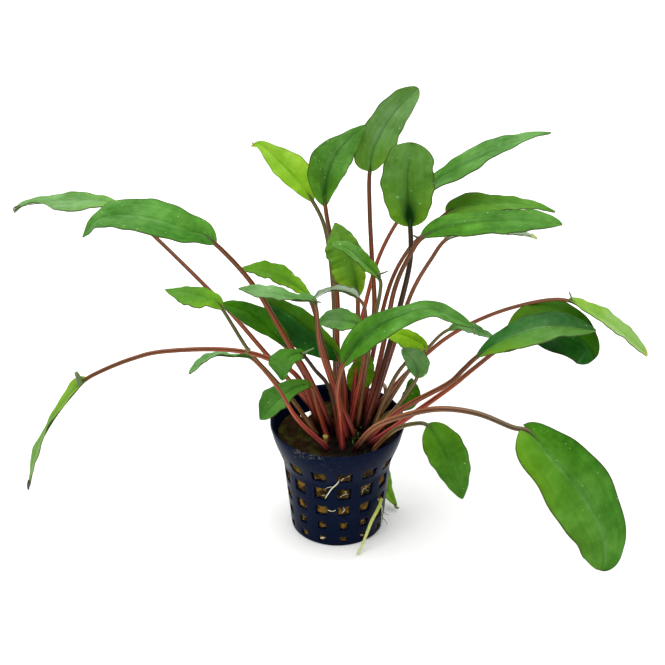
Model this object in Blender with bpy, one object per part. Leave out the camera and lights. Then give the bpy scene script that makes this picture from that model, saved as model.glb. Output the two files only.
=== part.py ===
"""Potted cryptocoryne: an aquarium plant in a net pot filled with mineral wool.

Metres, +Z up. The origin is the centre of the pot's base, on the surface that the pot stands on.
The photograph's camera looks along +Y, with +X to its right.
"""
import math
from collections import namedtuple

import bmesh
import bpy
from mathutils import Vector

MM = 0.001

# Net pot
POT_HEIGHT = 50 * MM
RIM_RADIUS = 27.4 * MM
BASE_RADIUS = 19 * MM
NECK_RADIUS = 22.1 * MM        # just under the flared collar
NECK_HEIGHT = 31 * MM
COLLAR_POWER = 1.2             # above 1 the collar starts to flare later
POT_WALL = 1.2 * MM
WINDOW_COLUMNS = 14
FIRST_COLUMN = math.radians(-82.6)     # a column stands just right of the front
WINDOW_ROWS = [                # bottom, top and angular width of each row
    (2.0 * MM, 4.8 * MM, 9.0),
    (8.6 * MM, 12.5 * MM, 10.0),
    (16.3 * MM, 21.1 * MM, 13.5),
    (24.8 * MM, 30.6 * MM, 14.5),
    (34.6 * MM, 39.7 * MM, 14.5),
]
COLLAR_HEIGHTS = [43.4 * MM, 46.4 * MM, 48.8 * MM]
BOTTOM_SLOTS = (7.5 * MM, 15 * MM, 12.0)    # inner radius, outer radius and angular width
POT_COLOUR = (0.006, 0.010, 0.030)
POT_ROUGHNESS = 0.35

# Mineral wool
GAP = 0.35 * MM                # between faces that touch in the real thing
WOOL_TOP = 43 * MM
WOOL_HOLLOW = Vector((-12 * MM, 18.4 * MM, 0))     # by the wall at the back left
HOLLOW_DEPTH = 7.5 * MM
HOLLOW_RADIUS = 8 * MM
WOOL_RING_SHARES = [1.0, 0.7, 0.35]    # of the top's radius
WOOL_COLOUR = (0.060, 0.042, 0.012)
WOOL_ROUGHNESS = 0.95

# Leaves
FOOT_GAP = 0.9 * MM            # from the sloping wool to the middle of a stalk's foot
STALK_FOOT_RADIUS = 1.15 * MM
STALK_COLLAR_RADIUS = 0.75 * MM
RIB_TIP_RADIUS = 0.25 * MM
BLADE_THICKNESS = 0.6 * MM
TIP_HALF_WIDTH = 0.4 * MM
STALK_SPACING = 17 * MM
BLADE_STATIONS = [0.05, 0.16, 0.3, 0.46, 0.62, 0.77, 0.9, 1.0]     # shares of the blade's length
# The eight points round a blade, from one edge to the other on top and back below: the share of
# the half width, and which skin each is on
RING_ACROSS = (-1, -0.5, 0, 0.5, 1, 0.5, 0, -0.5)
RING_SKIN = (0, 1, 1, 1, 0, -1, -1, -1)
RING_POINTS = 8
SPAN_STEPS = 10                # points of a smooth line between two of its own
LEAF_ROUGHNESS = 0.4
SHARP_ANGLE = math.radians(40)

# Runner root
ROOT_RADIUS = 0.6 * MM
ROOT_EVERY = 5                 # of the smooth line's points, so that the tube stays light
ROOT_ROUND = 1
ROOT_COLOUR = (0.360, 0.400, 0.080)
ROOT_ROUGHNESS = 0.5

GREEN = (0.070, 0.255, 0.040)
BRIGHT = (0.130, 0.360, 0.030)
DARK = (0.022, 0.110, 0.016)
LIME = (0.250, 0.430, 0.030)
PALE = (0.230, 0.420, 0.180)

# Points are in mm. The stalk runs from its foot, which stands on the wool and so has no height of
# its own, to the collar, and the rib runs from there to the tip.
# faces is the way that the blade's upper side looks, belly the place of its widest point, taper how
# slender its ends are and fold the rise of its halves in degrees.
Leaf = namedtuple("Leaf", "name stalk rib width faces colour belly taper fold",
                  defaults=(GREEN, 0.42, 0.75, 12))

LEAVES = [
    Leaf("leaf_left_far",
         [(-4, 4), (-15, 10, 56), (-29, 21, 68), (-49, 38, 84), (-78, 58, 105), (-91, 64, 114)],
         [(-106, 66, 116), (-122, 66, 115), (-131, 65, 114), (-135, 64, 111)], 13, (0, 0, 1), GREEN, 0.4),
    Leaf("leaf_left_broad",
         [(-2, 1), (-11, 5, 66), (-20, 8, 82), (-34, 15, 105), (-50, 20, 122)],
         [(-59, 23, 125), (-72, 27, 128), (-87, 31, 128), (-97, 33, 124), (-103, 34, 116)], 20,
         (0.1, -0.3, 1), GREEN, 0.54, 0.6),
    Leaf("leaf_left_drooping",
         [(-7, 1), (-15, 0, 69), (-28, -1, 80), (-45, -4, 86), (-69, -7, 87), (-82, -8, 84),
          (-94, -9, 79), (-101, -10, 75)],
         [(-108, -10, 67), (-116, -11, 55), (-122, -12, 42), (-126, -12, 25)],
         16, (-0.7, -0.4, 0.3), PALE),
    Leaf("leaf_left_small",
         [(-8, -3), (-18, 0, 59), (-27, 2, 70), (-36, 4, 81), (-47, 7, 100)],
         [(-52, 9, 102), (-60, 12, 103), (-69, 14, 103)], 12, (0, -0.2, 1), BRIGHT),
    Leaf("leaf_left_low",
         [(-4, -12), (-16, -15, 60), (-24, -17, 77), (-34, -18, 91)],
         [(-42, -19, 93), (-48, -19, 93), (-53, -20, 90), (-58, -22, 86)], 9, (0, 0.2, 1), GREEN, 0.7),
    Leaf("leaf_left_bright",
         [(-7, 10), (-13, 10, 64), (-21, 11, 78)],
         [(-28, 15, 84), (-37, 20, 89), (-47, 25, 90)], 15, (-0.2, -0.5, 0.8), BRIGHT),
    Leaf("leaf_left_wavy",
         [(7, -3), (0, 2, 61), (-6, 7, 82), (-11, 11, 100)],
         [(-19, 16, 105), (-29, 20, 108), (-39, 22, 108)], 13, (0, 0, 1), GREEN, 0.58),
    Leaf("leaf_left_pale",
         [(4, -5), (-1, -4, 65), (-7, -5, 88), (-9, -5, 108)],
         [(-17, -3, 109), (-27, -1, 110), (-39, 1, 111)], 13, (0, 0.05, 1), PALE),
    Leaf("leaf_left_dark",
         [(3, 5), (3, 8, 61), (0, 10, 74)],
         [(-8, 15, 80), (-19, 22, 86), (-31, 28, 90)], 18, (-0.1, -0.6, 0.8), DARK),
    Leaf("leaf_left_nodding",
         [(1, -6), (-3, -6, 68), (-9, -8, 79), (-14, -9, 87)],
         [(-17, -11, 88), (-20, -13, 86), (-22, -14, 78)], 12, (-0.3, -0.6, 0.7)),
    Leaf("leaf_front_left",
         [(-4, -5), (-8, -6, 59), (-11, -6, 70)],
         [(-18, -7, 69), (-25, -8, 63), (-31, -9, 56)], 14, (-0.2, -0.5, 0.85), GREEN, 0.55),
    Leaf("leaf_top_yellow",
         [(-1, 13), (-1, 19, 73), (-2, 26, 100), (-5, 34, 120), (-11, 40, 131)],
         [(-17, 45, 137), (-25, 51, 143), (-31, 55, 147), (-35, 56, 146)], 14, (-0.2, -0.6, 0.8), LIME),
    Leaf("leaf_top_left",
         [(2, 11), (0, 17, 76), (0, 21, 94), (-2, 26, 115), (-5, 31, 134)],
         [(-3, 35, 146), (2, 40, 154), (11, 45, 161)], 16, (0, -0.9, 0.3), GREEN, 0.38),
    Leaf("leaf_top_tall",
         [(7, 13), (12, 17, 72), (15, 22, 89), (14, 30, 108), (13, 36, 127), (13, 42, 142)],
         [(16, 46, 153), (23, 50, 164), (32, 54, 173)], 16, (0.1, -0.95, 0.2), GREEN, 0.42, 0.5),
    Leaf("leaf_top_oval",
         [(11, 1), (19, 10, 70), (25, 16, 93), (29, 19, 113), (29, 24, 127)],
         [(28, 27, 137), (28, 31, 147), (30, 35, 158)], 22, (0, -0.9, 0.45), GREEN, 0.52, 0.5),
    Leaf("leaf_top_right",
         [(6, 16), (8, 21, 73), (11, 26, 87), (17, 37, 105), (26, 46, 119), (37, 51, 130)],
         [(48, 51, 138), (62, 54, 144), (76, 57, 149), (87, 60, 150)], 12, (-0.2, -0.1, 1), GREEN, 0.32),
    Leaf("leaf_middle_upright",
         [(6, 6), (8, 11, 77), (8, 15, 101)],
         [(6, 18, 111), (3, 21, 119), (-1, 24, 128)], 17, (0, -0.9, 0.4)),
    Leaf("leaf_middle_twisted",
         [(8, 3), (13, 5, 83), (17, 8, 106), (16, 9, 112)],
         [(10, 8, 119), (4, 6, 126), (-3, 5, 129)], 12, (0.2, -0.3, 0.9)),
    Leaf("leaf_middle_arching",
         [(9, 8), (11, 7, 81), (11, 5, 99), (7, 4, 106)],
         [(2, 2, 110), (-4, 0, 111), (-10, -2, 108)], 9, (0, 0.6, 0.8), PALE),
    Leaf("leaf_middle_grey",
         [(5, 2), (10, 1, 74), (11, 0, 88), (8, 0, 95)],
         [(3, 1, 96), (-3, 2, 96), (-8, 3, 94)], 11, (0, -0.4, 1)),
    Leaf("leaf_middle_broad",
         [(2, -11), (1, -11, 59), (0, -11, 71), (3, -10, 84)],
         [(11, -9, 95), (24, -7, 103), (37, -5, 105), (54, -2, 95)], 16, (0, -0.25, 1), GREEN, 0.35),
    Leaf("leaf_middle_bright",
         [(5, 9), (5, 12, 59)],
         [(8, 13, 67), (10, 15, 76)], 11, (0, -0.8, 0.5), BRIGHT),
    Leaf("leaf_right_upper",
         [(10, 12), (15, 19, 72), (21.2, 27, 97), (28.2, 34, 109), (35.5, 39, 115), (46, 43.5, 123)],
         [(56, 45, 125), (72, 46, 125), (89, 46, 121)], 12, (0, -0.1, 1), GREEN, 0.36),
    Leaf("leaf_right_long",
         [(11, 5), (18.4, 14, 75.5), (22.9, 16, 102), (28.9, 16, 118), (35, 19, 125)],
         [(49, 22, 128), (70, 26, 128), (90, 28, 125)], 17, (0, -0.15, 1), GREEN, 0.5, 0.6),
    Leaf("leaf_right_hidden",
         [(13, 8), (23, 17, 75), (30, 23, 96), (38, 30, 108), (45, 35, 115)],
         [(58, 38, 117), (80, 42, 112)], 14, (0, 0, 1), PALE),
    Leaf("leaf_right_yellow",
         [(15, 4), (23, 7, 65), (30, 8, 75), (35, 9, 79)],
         [(30, 9, 83), (25, 9, 85), (19, 9, 85)], 12, (0, -0.6, 0.8), LIME),
    Leaf("leaf_right_narrow",
         [(16, 8), (29, 14, 64), (37, 15, 75), (42, 14, 82), (46, 12, 86)],
         [(51, 12, 87), (63, 12, 82)], 9, (0.1, 0.5, 0.85)),
    Leaf("leaf_right_broad",
         [(12, -6), (26, -6, 59), (44, -6, 71), (50, -5, 77), (56, -4, 83)],
         [(66, -3, 90), (82, -1, 95), (103, 2, 91)], 20, (0.1, -0.35, 1), DARK, 0.55, 0.8),
    Leaf("leaf_right_dark",
         [(13, -9), (25, -9, 54), (45, 0, 65), (54, 4, 71), (66, 9, 79)],
         [(77, 12, 86), (85, 12, 87), (95, 12, 84), (101, 11, 79), (104.5, 9, 74)], 18,
         (0.4, -0.4, 0.8), DARK, 0.55, 0.4),
    Leaf("leaf_right_arching",
         [(14, 12), (20, 14, 52), (30, 19, 62), (45, 20, 77), (63, 20, 88), (83, 19, 95),
          (95, 18, 95)],
         [(108, 16, 88), (116, 14, 82), (126, 12, 73)], 12, (0.6, 0, 0.75), LIME),
    Leaf("leaf_right_grey",
         [(15, -2), (24, -3, 58), (30, -3, 68), (32, -3, 73)],
         [(31, -2, 78), (26, 0, 84)], 12, (0, -0.85, 0.5), PALE),
    Leaf("leaf_right_small",
         [(15, 1), (20, 2, 51), (26, 2, 55)],
         [(29, 2, 61), (30, 3, 68)], 10, (0, -0.8, 0.6)),
    Leaf("leaf_front_big",
         [(7, -13), (15, -16, 57), (28, -19, 65), (41, -24, 71), (55, -29, 72), (68, -34, 69),
          (75, -36, 68)],
         [(82, -41, 61), (93, -49, 51), (102, -56, 38), (104.5, -60, 28), (104, -63, 21)], 28,
         (0.1, -0.7, 0.6), GREEN, 0.5, 0.5),
    Leaf("leaf_front_small",
         [(15, -12), (23, -15, 55), (31, -18, 60), (36, -21, 61)],
         [(40, -24, 56), (46, -28, 44), (50, -30, 32)], 15, (0.2, -0.8, 0.5), GREEN, 0.45),
    Leaf("leaf_pot_side",
         [(10, 16), (14, 17, 52), (18, 19, 54), (20, 23, 50), (20, 21, 36), (20, 17, 22)],
         [(20, 14, 12), (21, 11, 6), (25, 6, 2)], 7, (0.5, -0.8, 0.2), LIME),
]

# The runner root leaves a window and ends on the floor in front of the pot (mm)
ROOT_LINE = [(18, -12, 19), (17, -15, 17), (14, -18, 12), (12, -20, 7), (10, -23, 3), (8, -26, 1)]


def clear_scene():
    for item in list(bpy.data.objects):
        bpy.data.objects.remove(item, do_unlink=True)


def material(name, colour, roughness, metallic=0.0):
    made = bpy.data.materials.new(name)
    made.use_nodes = True
    shader = made.node_tree.nodes["Principled BSDF"]
    shader.inputs["Base Color"].default_value = (*colour, 1.0)
    shader.inputs["Roughness"].default_value = roughness
    shader.inputs["Metallic"].default_value = metallic
    return made


def add_object(name, bm, colour, roughness):
    """Turns a closed bmesh into a smooth-shaded object with its own material"""
    bmesh.ops.recalc_face_normals(bm, faces=bm.faces)
    mesh = bpy.data.meshes.new(name)
    bm.to_mesh(mesh)
    bm.free()
    mesh.shade_smooth()
    mesh.set_sharp_from_angle(angle=SHARP_ANGLE)
    mesh.materials.append(material(name, colour, roughness))
    made = bpy.data.objects.new(name, mesh)
    bpy.context.collection.objects.link(made)
    return made


def smooth_step(value):
    held = min(max(value, 0.0), 1.0)
    return held * held * (3 - 2 * held)


def pot_radius(height):
    """Outer radius of the pot: a straight taper, then a collar that flares to the rim"""
    if height <= NECK_HEIGHT:
        return BASE_RADIUS + (NECK_RADIUS - BASE_RADIUS) * height / NECK_HEIGHT
    flare = (height - NECK_HEIGHT) / (POT_HEIGHT - NECK_HEIGHT)
    return NECK_RADIUS + (RIM_RADIUS - NECK_RADIUS) * math.sin(math.pi / 2 * flare ** COLLAR_POWER)


def column_angles(width):
    """Both edges of every window column, for windows this many degrees wide"""
    half = math.radians(width) / 2
    angles = []
    for column in range(WINDOW_COLUMNS):
        centre = FIRST_COLUMN + column * 2 * math.pi / WINDOW_COLUMNS
        angles += [centre - half, centre + half]
    return angles


def circle(bm, radius, height, angles):
    return [bm.verts.new((radius * math.cos(a), radius * math.sin(a), height)) for a in angles]


def pot_lines():
    """Lines round the pot from the bottom's middle to the rim.

    Each is the outer radius and height, the inner ones, the column width and whether windows
    fill the band above it.
    """
    slot_in, slot_out, slot_width = BOTTOM_SLOTS
    floor = POT_WALL
    lines = [
        (slot_in, 0, slot_in, floor, slot_width, True),
        (slot_out, 0, slot_out, floor, slot_width, False),
        (BASE_RADIUS, 0, BASE_RADIUS - POT_WALL, floor, WINDOW_ROWS[0][2], False),
    ]
    for bottom, top, width in WINDOW_ROWS:
        for height, window in ((bottom, True), (top, False)):
            outer = pot_radius(height)
            lines.append((outer, height, outer - POT_WALL, height, width, window))
    for height in COLLAR_HEIGHTS:
        outer = pot_radius(height)
        lines.append((outer, height, outer - POT_WALL, height, WINDOW_ROWS[-1][2], False))
    lip = RIM_RADIUS - POT_WALL
    lines.append((RIM_RADIUS, POT_HEIGHT, lip, POT_HEIGHT, WINDOW_ROWS[-1][2], False))
    return lines


def net_pot():
    bm = bmesh.new()
    rings = []
    for outer, outer_height, inner, inner_height, width, window in pot_lines():
        angles = column_angles(width)
        rings.append((circle(bm, outer, outer_height, angles),
                      circle(bm, inner, inner_height, angles), window))
    count = 2 * WINDOW_COLUMNS
    for (low_out, low_in, window), (high_out, high_in, _) in zip(rings, rings[1:]):
        for here in range(count):
            there = (here + 1) % count
            if window and here % 2 == 0:
                bm.faces.new((low_out[here], high_out[here], high_in[here], low_in[here]))
                bm.faces.new((low_out[there], high_out[there], high_in[there], low_in[there]))
                bm.faces.new((low_out[here], low_out[there], low_in[there], low_in[here]))
                bm.faces.new((high_out[here], high_out[there], high_in[there], high_in[here]))
            else:
                bm.faces.new((low_out[here], low_out[there], high_out[there], high_out[here]))
                bm.faces.new((low_in[here], low_in[there], high_in[there], high_in[here]))
    bm.faces.new(rings[0][0])
    bm.faces.new(rings[0][1])
    rim_out, rim_in, _ = rings[-1]
    for here in range(count):
        there = (here + 1) % count
        bm.faces.new((rim_out[here], rim_out[there], rim_in[there], rim_in[here]))
    add_object("net_pot", bm, POT_COLOUR, POT_ROUGHNESS)


def wool_height(x, y):
    away = math.hypot(x - WOOL_HOLLOW.x, y - WOOL_HOLLOW.y)
    return WOOL_TOP - HOLLOW_DEPTH * smooth_step(1 - away / HOLLOW_RADIUS)


def wool_plug():
    """Fills the pot to a little under the rim, with a hollow in its top at the back left"""
    bm = bmesh.new()
    angles = column_angles(WINDOW_ROWS[0][2])
    rings = []
    for height in (POT_WALL + GAP, NECK_HEIGHT):
        rings.append(circle(bm, pot_radius(height) - POT_WALL - GAP, height, angles))
    edge = pot_radius(WOOL_TOP - HOLLOW_DEPTH) - POT_WALL - GAP
    for share in WOOL_RING_SHARES:
        ring = []
        for angle in angles:
            way = Vector((math.cos(angle), math.sin(angle), 0))
            spot = way * edge * share
            ring.append(bm.verts.new((spot.x, spot.y, wool_height(spot.x, spot.y))))
        rings.append(ring)
    for low, high in zip(rings, rings[1:]):
        for here in range(len(angles)):
            there = (here + 1) % len(angles)
            bm.faces.new((low[here], low[there], high[there], high[here]))
    bm.faces.new(rings[0])
    middle = bm.verts.new((0, 0, wool_height(0, 0)))
    for here in range(len(angles)):
        bm.faces.new((rings[-1][here], rings[-1][(here + 1) % len(angles)], middle))
    add_object("wool_plug", bm, WOOL_COLOUR, WOOL_ROUGHNESS)


def smooth_line(points):
    """A dense curve that passes through every point"""
    ends = [2 * points[0] - points[1], *points, 2 * points[-1] - points[-2]]
    line = []
    for before, start, end, after in zip(ends, ends[1:], ends[2:], ends[3:]):
        for step in range(SPAN_STEPS):
            t = step / SPAN_STEPS
            line.append(0.5 * (2 * start + (end - before) * t
                               + (2 * before - 5 * start + 4 * end - after) * t ** 2
                               + (3 * start - before - 3 * end + after) * t ** 3))
    line.append(points[-1])
    return line


def travelled(line):
    """Distance from the line's start to each of its points"""
    reached = [0.0]
    for start, end in zip(line, line[1:]):
        reached.append(reached[-1] + (end - start).length)
    return reached


def walk(line, reached, distance):
    """The place at that distance along the line, and the way it runs there"""
    for index in range(1, len(line)):
        if distance <= reached[index] or index == len(line) - 1:
            start, end = line[index - 1], line[index]
            share = (distance - reached[index - 1]) / (reached[index] - reached[index - 1])
            return start.lerp(end, share), (end - start).normalized()


def blade_half_width(leaf, t):
    """Oval outline, widest at the belly and drawn out to the tip"""
    power = math.log(0.5) / math.log(leaf.belly)
    oval = math.sin(math.pi * t ** power) if t < 1 else 0.0
    return leaf.width * MM / 2 * oval ** leaf.taper


def leaf_ring(bm, centre, side, up, radius, half, fold):
    """Eight points round one station: round on the stalk, a thin folded lens on the blade"""
    ring = []
    for index, (across, skin) in enumerate(zip(RING_ACROSS, RING_SKIN)):
        if half is None:
            angle = math.pi - index * 2 * math.pi / RING_POINTS
            spot = side * math.cos(angle) * radius + up * math.sin(angle) * radius
        else:
            thick = radius if across == 0 else BLADE_THICKNESS / 2
            spot = side * across * half * math.cos(fold)
            spot += up * (abs(across) * half * math.sin(fold) + skin * thick)
        ring.append(bm.verts.new(centre + spot))
    return ring


def leaf_stations(leaf):
    """Centre, direction, radius and half width at every station from the foot to the tip"""
    foot_x, foot_y = leaf.stalk[0]
    foot = Vector((foot_x * MM, foot_y * MM, wool_height(foot_x * MM, foot_y * MM) + FOOT_GAP))
    stalk = [foot, *(Vector(p) * MM for p in leaf.stalk[1:])]
    rib = [Vector(p) * MM for p in leaf.rib]
    line = smooth_line(stalk + rib)
    reached = travelled(line)
    collar = reached[(len(stalk) - 1) * SPAN_STEPS]
    length = reached[-1] - collar
    stations = []
    count = max(2, round(collar / STALK_SPACING))
    for index in range(count + 1):
        share = index / count
        place, way = walk(line, reached, collar * share)
        radius = STALK_FOOT_RADIUS + (STALK_COLLAR_RADIUS - STALK_FOOT_RADIUS) * share
        stations.append((place, way, radius, None))
    for t in BLADE_STATIONS:
        place, way = walk(line, reached, collar + length * t)
        radius = STALK_COLLAR_RADIUS + (RIB_TIP_RADIUS - STALK_COLLAR_RADIUS) * t
        stations.append((place, way, radius, max(blade_half_width(leaf, t), TIP_HALF_WIDTH)))
    return stations


def leaf_frames(leaf, stations):
    """The way up at each station: the blade's set side, carried down the stalk without a turn"""
    ups = [None] * len(stations)
    first = len(stations) - len(BLADE_STATIONS)
    for index in range(first, len(stations)):
        way = stations[index][1]
        faces = Vector(leaf.faces)
        ups[index] = (faces - way * faces.dot(way)).normalized()
    for index in range(first - 1, -1, -1):
        way = stations[index][1] if index else Vector((0, 0, 1))
        above = ups[index + 1]
        ups[index] = (above - way * above.dot(way)).normalized()
    return ups


def grow_leaf(leaf):
    """Stalk and blade as one closed skin"""
    bm = bmesh.new()
    stations = leaf_stations(leaf)
    rings = []
    for (place, way, radius, half), up in zip(stations, leaf_frames(leaf, stations)):
        along = way if rings else Vector((0, 0, 1))
        rings.append(leaf_ring(bm, place, along.cross(up), up, radius, half, math.radians(leaf.fold)))
    for low, high in zip(rings, rings[1:]):
        for here in range(RING_POINTS):
            there = (here + 1) % RING_POINTS
            bm.faces.new((low[here], low[there], high[there], high[here]))
    bm.faces.new(rings[0])
    bm.faces.new(rings[-1])
    add_object(leaf.name, bm, leaf.colour, LEAF_ROUGHNESS)


def runner_root():
    """A tube along the root's own line, closed at both ends"""
    curve = bpy.data.curves.new("runner_root", "CURVE")
    curve.dimensions = "3D"
    curve.bevel_depth = ROOT_RADIUS
    curve.bevel_resolution = ROOT_ROUND
    curve.use_fill_caps = True
    places = smooth_line([Vector(p) * MM for p in ROOT_LINE])[::ROOT_EVERY]
    spline = curve.splines.new("POLY")
    spline.points.add(len(places) - 1)
    for point, place in zip(spline.points, places):
        point.co = (*place, 1)
    curve.materials.append(material("runner_root", ROOT_COLOUR, ROOT_ROUGHNESS))
    made = bpy.data.objects.new("runner_root", curve)
    bpy.context.collection.objects.link(made)


def main():
    clear_scene()
    net_pot()
    wool_plug()
    for leaf in LEAVES:
        grow_leaf(leaf)
    runner_root()


main()
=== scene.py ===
# %% [markdown]
# # A potted cryptocoryne
# An aquarium plant: leaves with long red-brown stalks rise from a plug of mineral wool that
# sits in a small plastic net pot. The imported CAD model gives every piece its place, and this
# lesson gives each of them its real surface. Lengths are in metres, +Z is up, and the origin is
# the middle of the pot's base.

# %% Load the frame
import math
import random
from collections import namedtuple

import bpy
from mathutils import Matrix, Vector, noise


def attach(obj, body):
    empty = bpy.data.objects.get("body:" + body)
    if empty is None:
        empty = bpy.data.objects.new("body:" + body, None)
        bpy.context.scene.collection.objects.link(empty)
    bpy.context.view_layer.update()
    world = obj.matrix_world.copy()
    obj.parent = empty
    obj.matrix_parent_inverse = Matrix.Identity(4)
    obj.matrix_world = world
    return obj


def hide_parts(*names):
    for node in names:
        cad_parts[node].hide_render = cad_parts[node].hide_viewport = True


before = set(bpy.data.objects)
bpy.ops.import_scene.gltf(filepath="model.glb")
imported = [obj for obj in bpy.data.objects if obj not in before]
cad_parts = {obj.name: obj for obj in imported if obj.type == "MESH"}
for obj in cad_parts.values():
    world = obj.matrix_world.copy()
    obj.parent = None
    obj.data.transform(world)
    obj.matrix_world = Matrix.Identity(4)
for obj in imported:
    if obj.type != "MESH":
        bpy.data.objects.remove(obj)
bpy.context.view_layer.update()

MM = 0.001
bpy.ops.object.select_all(action="DESELECT")

# %% [markdown]
# ## Camera, floor and light
# The photograph was taken from far away with a long lens, looking about 31 degrees down, on a
# white sweep. A camera is placed by the point that it looks at, its distance and its pitch. The
# room is a white world, brighter behind the plant than on the camera's side, and a wide lamp
# above it is the roof of a light tent. Both keep the shadows soft, and the brighter back gives
# the leaves some of their pale sheen, the rest being painted sheen in their colour, while the
# pot's front stays deep navy.

# %% Camera
CAMERA_PITCH = math.radians(31.5)
CAMERA_DISTANCE = 0.9
CAMERA_AIM = Vector((-0.002, 0, 0.0915))
SENSOR = 36
LENS = 122.45


def add_camera():
    forward = Vector((0, math.cos(CAMERA_PITCH), -math.sin(CAMERA_PITCH)))
    lens = bpy.data.cameras.new("camera")
    lens.sensor_width = SENSOR
    lens.lens = LENS
    lens.clip_start = 0.01
    rig = bpy.data.objects.new("camera", lens)
    bpy.context.scene.collection.objects.link(rig)
    rig.location = CAMERA_AIM - forward * CAMERA_DISTANCE
    rig.rotation_euler = forward.to_track_quat("-Z", "Y").to_euler()
    bpy.context.scene.camera = rig
    print("camera at", rig.location[:])


add_camera()


# %% [markdown]
# Colours are written as the hex values that a paint program shows. Blender mixes light in
# linear values, so one function turns them. Another adds a shader node with its settings and
# fills its inputs, which keeps each material as short as a recipe.

# %% Colour and node helpers
def colour(hex_value):
    """sRGB hex to linear red, green, blue and alpha"""
    channels = []
    for start in (1, 3, 5):
        value = int(hex_value[start:start + 2], 16) / 255
        channels.append(value / 12.92 if value <= 0.04045 else ((value + 0.055) / 1.055) ** 2.4)
    return (*channels, 1.0)


def feed(tree, node, inputs):
    """Fills a node's inputs, each with a value, a hex colour, or the node or socket to join"""
    for key, value in dict(inputs).items():
        in_use = [socket for socket in node.inputs if socket.enabled]
        socket = in_use[key] if isinstance(key, int) else next(s for s in in_use if s.name == key)
        if isinstance(value, bpy.types.Node):
            value = next(output for output in value.outputs if output.enabled)
        if isinstance(value, bpy.types.NodeSocket):
            tree.links.new(value, socket)
        else:
            socket.default_value = colour(value) if isinstance(value, str) else value


def add(tree, kind, inputs=(), ramp=(), **settings):
    """Adds a node with its settings, its inputs and, for a ramp, its stops"""
    made = tree.nodes.new(kind)
    for key, value in settings.items():
        setattr(made, key, value)
    feed(tree, made, inputs)
    for index, (place, stop) in enumerate(ramp):
        stops = made.color_ramp.elements
        element = stops[index] if index < 2 else stops.new(place)
        element.position = place
        element.color = colour(stop)
    return made


def paint_over(tree, ground, *layers):
    """Lays colours over a ground, one after another, each by its own share"""
    for share, over in layers:
        ground = add(tree, "ShaderNodeMix", {"Factor": share, "A": ground, "B": over},
                     data_type="RGBA")
    return ground


def new_material(name):
    """An empty material with its principled shader"""
    made = bpy.data.materials.new(name)
    made.use_nodes = True
    tree = made.node_tree
    return made, tree, tree.nodes["Principled BSDF"]


print("mid grey is", round(colour("#808080")[0], 3), "in linear light")

# %% Floor and light
FLOOR_SIZE = 8
FRONT_GLOW = 0.42
BACK_GLOW = 0.85
# Where each lamp hangs and what it lights, with its size in metres and its power in watts
LAMPS = [
    ("light tent roof", (0, 0.1, 1.7), (0, 0, 0), 2.4, 42),
    ("key softbox", (-0.8, -0.6, 1.0), (0, 0, 0.08), 0.6, 4),
]


def add_floor():
    bpy.ops.mesh.primitive_plane_add(size=FLOOR_SIZE, location=(0, 0, 0))
    floor = bpy.context.object
    floor.name = "floor"
    made, tree, shader = new_material("matt white paper")
    # Matt card scatters light evenly and has almost no shine
    feed(tree, shader, {"Base Color": "#f4f4f3", "Roughness": 0.9, "Specular IOR Level": 0.1})
    floor.data.materials.append(made)
    floor.select_set(False)


def add_lamp(name, place, aim, size, power):
    light = bpy.data.lights.new(name, "AREA")
    light.shape = "DISK"
    light.size = size
    light.energy = power
    lamp = bpy.data.objects.new(name, light)
    bpy.context.scene.collection.objects.link(lamp)
    lamp.location = place
    lamp.rotation_euler = (Vector(aim) - Vector(place)).to_track_quat("-Z", "Y").to_euler()


def light_room():
    world = bpy.data.worlds.new("white room")
    world.use_nodes = True
    tree = world.node_tree
    way = add(tree, "ShaderNodeSeparateXYZ",
              {"Vector": add(tree, "ShaderNodeTexCoord").outputs["Generated"]})
    glow = add(tree, "ShaderNodeMapRange", {"Value": way.outputs["Y"], "From Min": -0.9,
                                            "From Max": 0.6, "To Min": FRONT_GLOW,
                                            "To Max": BACK_GLOW})
    feed(tree, tree.nodes["Background"], {"Strength": glow, "Color": "#ffffff"})
    bpy.context.scene.world = world
    for lamp in LAMPS:
        add_lamp(*lamp)
    bpy.context.scene.view_settings.view_transform = "Standard"
    print("room glows from", FRONT_GLOW, "to", BACK_GLOW, "with lamps:", len(LAMPS))


add_floor()
light_room()


# %% [markdown]
# ## Sheets laid on lines
# A leaf, a stalk, a root and even the pot's wall are sheets that follow a line: flat, rolled to a
# tube, or rolled to a cup. By hand one would add a grid and bend it with a curve. Here each
# starts as a grid too, and every point of it is then put where the real sheet has it. The grid
# brings its own UV map, so a pattern can follow the piece along and across.

# %% Sheet helpers
WELD = 0.02 * MM


def add_sheet(name, along, across):
    """A grid of that many faces, from 0 to 1 both ways, on its own"""
    bpy.ops.object.select_all(action="DESELECT")
    bpy.ops.mesh.primitive_grid_add(x_subdivisions=along, y_subdivisions=across, size=1,
                                    location=(0, 0, 0))
    sheet = bpy.context.object
    sheet.name = name
    sheet.data.name = name
    return sheet


def place_points(sheet, where):
    """Moves every point of a sheet from its share along and across to where() says"""
    for point in sheet.data.vertices:
        point.co = where(point.co.x + 0.5, point.co.y + 0.5)


def weld(sheet, distance=WELD):
    """Merges points that meet, such as a tube's seam or a cup's middle"""
    bpy.context.view_layer.objects.active = sheet
    bpy.ops.object.mode_set(mode="EDIT")
    bpy.ops.mesh.select_all(action="SELECT")
    bpy.ops.mesh.remove_doubles(threshold=distance)
    bpy.ops.object.mode_set(mode="OBJECT")


def close_ends(sheet):
    """Fills a tube's open ends and turns all its faces outwards"""
    bpy.context.view_layer.objects.active = sheet
    bpy.ops.object.mode_set(mode="EDIT")
    bpy.ops.mesh.select_all(action="SELECT")
    bpy.ops.mesh.fill_holes(sides=0)
    bpy.ops.mesh.select_all(action="SELECT")
    bpy.ops.mesh.normals_make_consistent(inside=False)
    bpy.ops.object.mode_set(mode="OBJECT")


print("points closer than", WELD / MM, "mm are welded")

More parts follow.
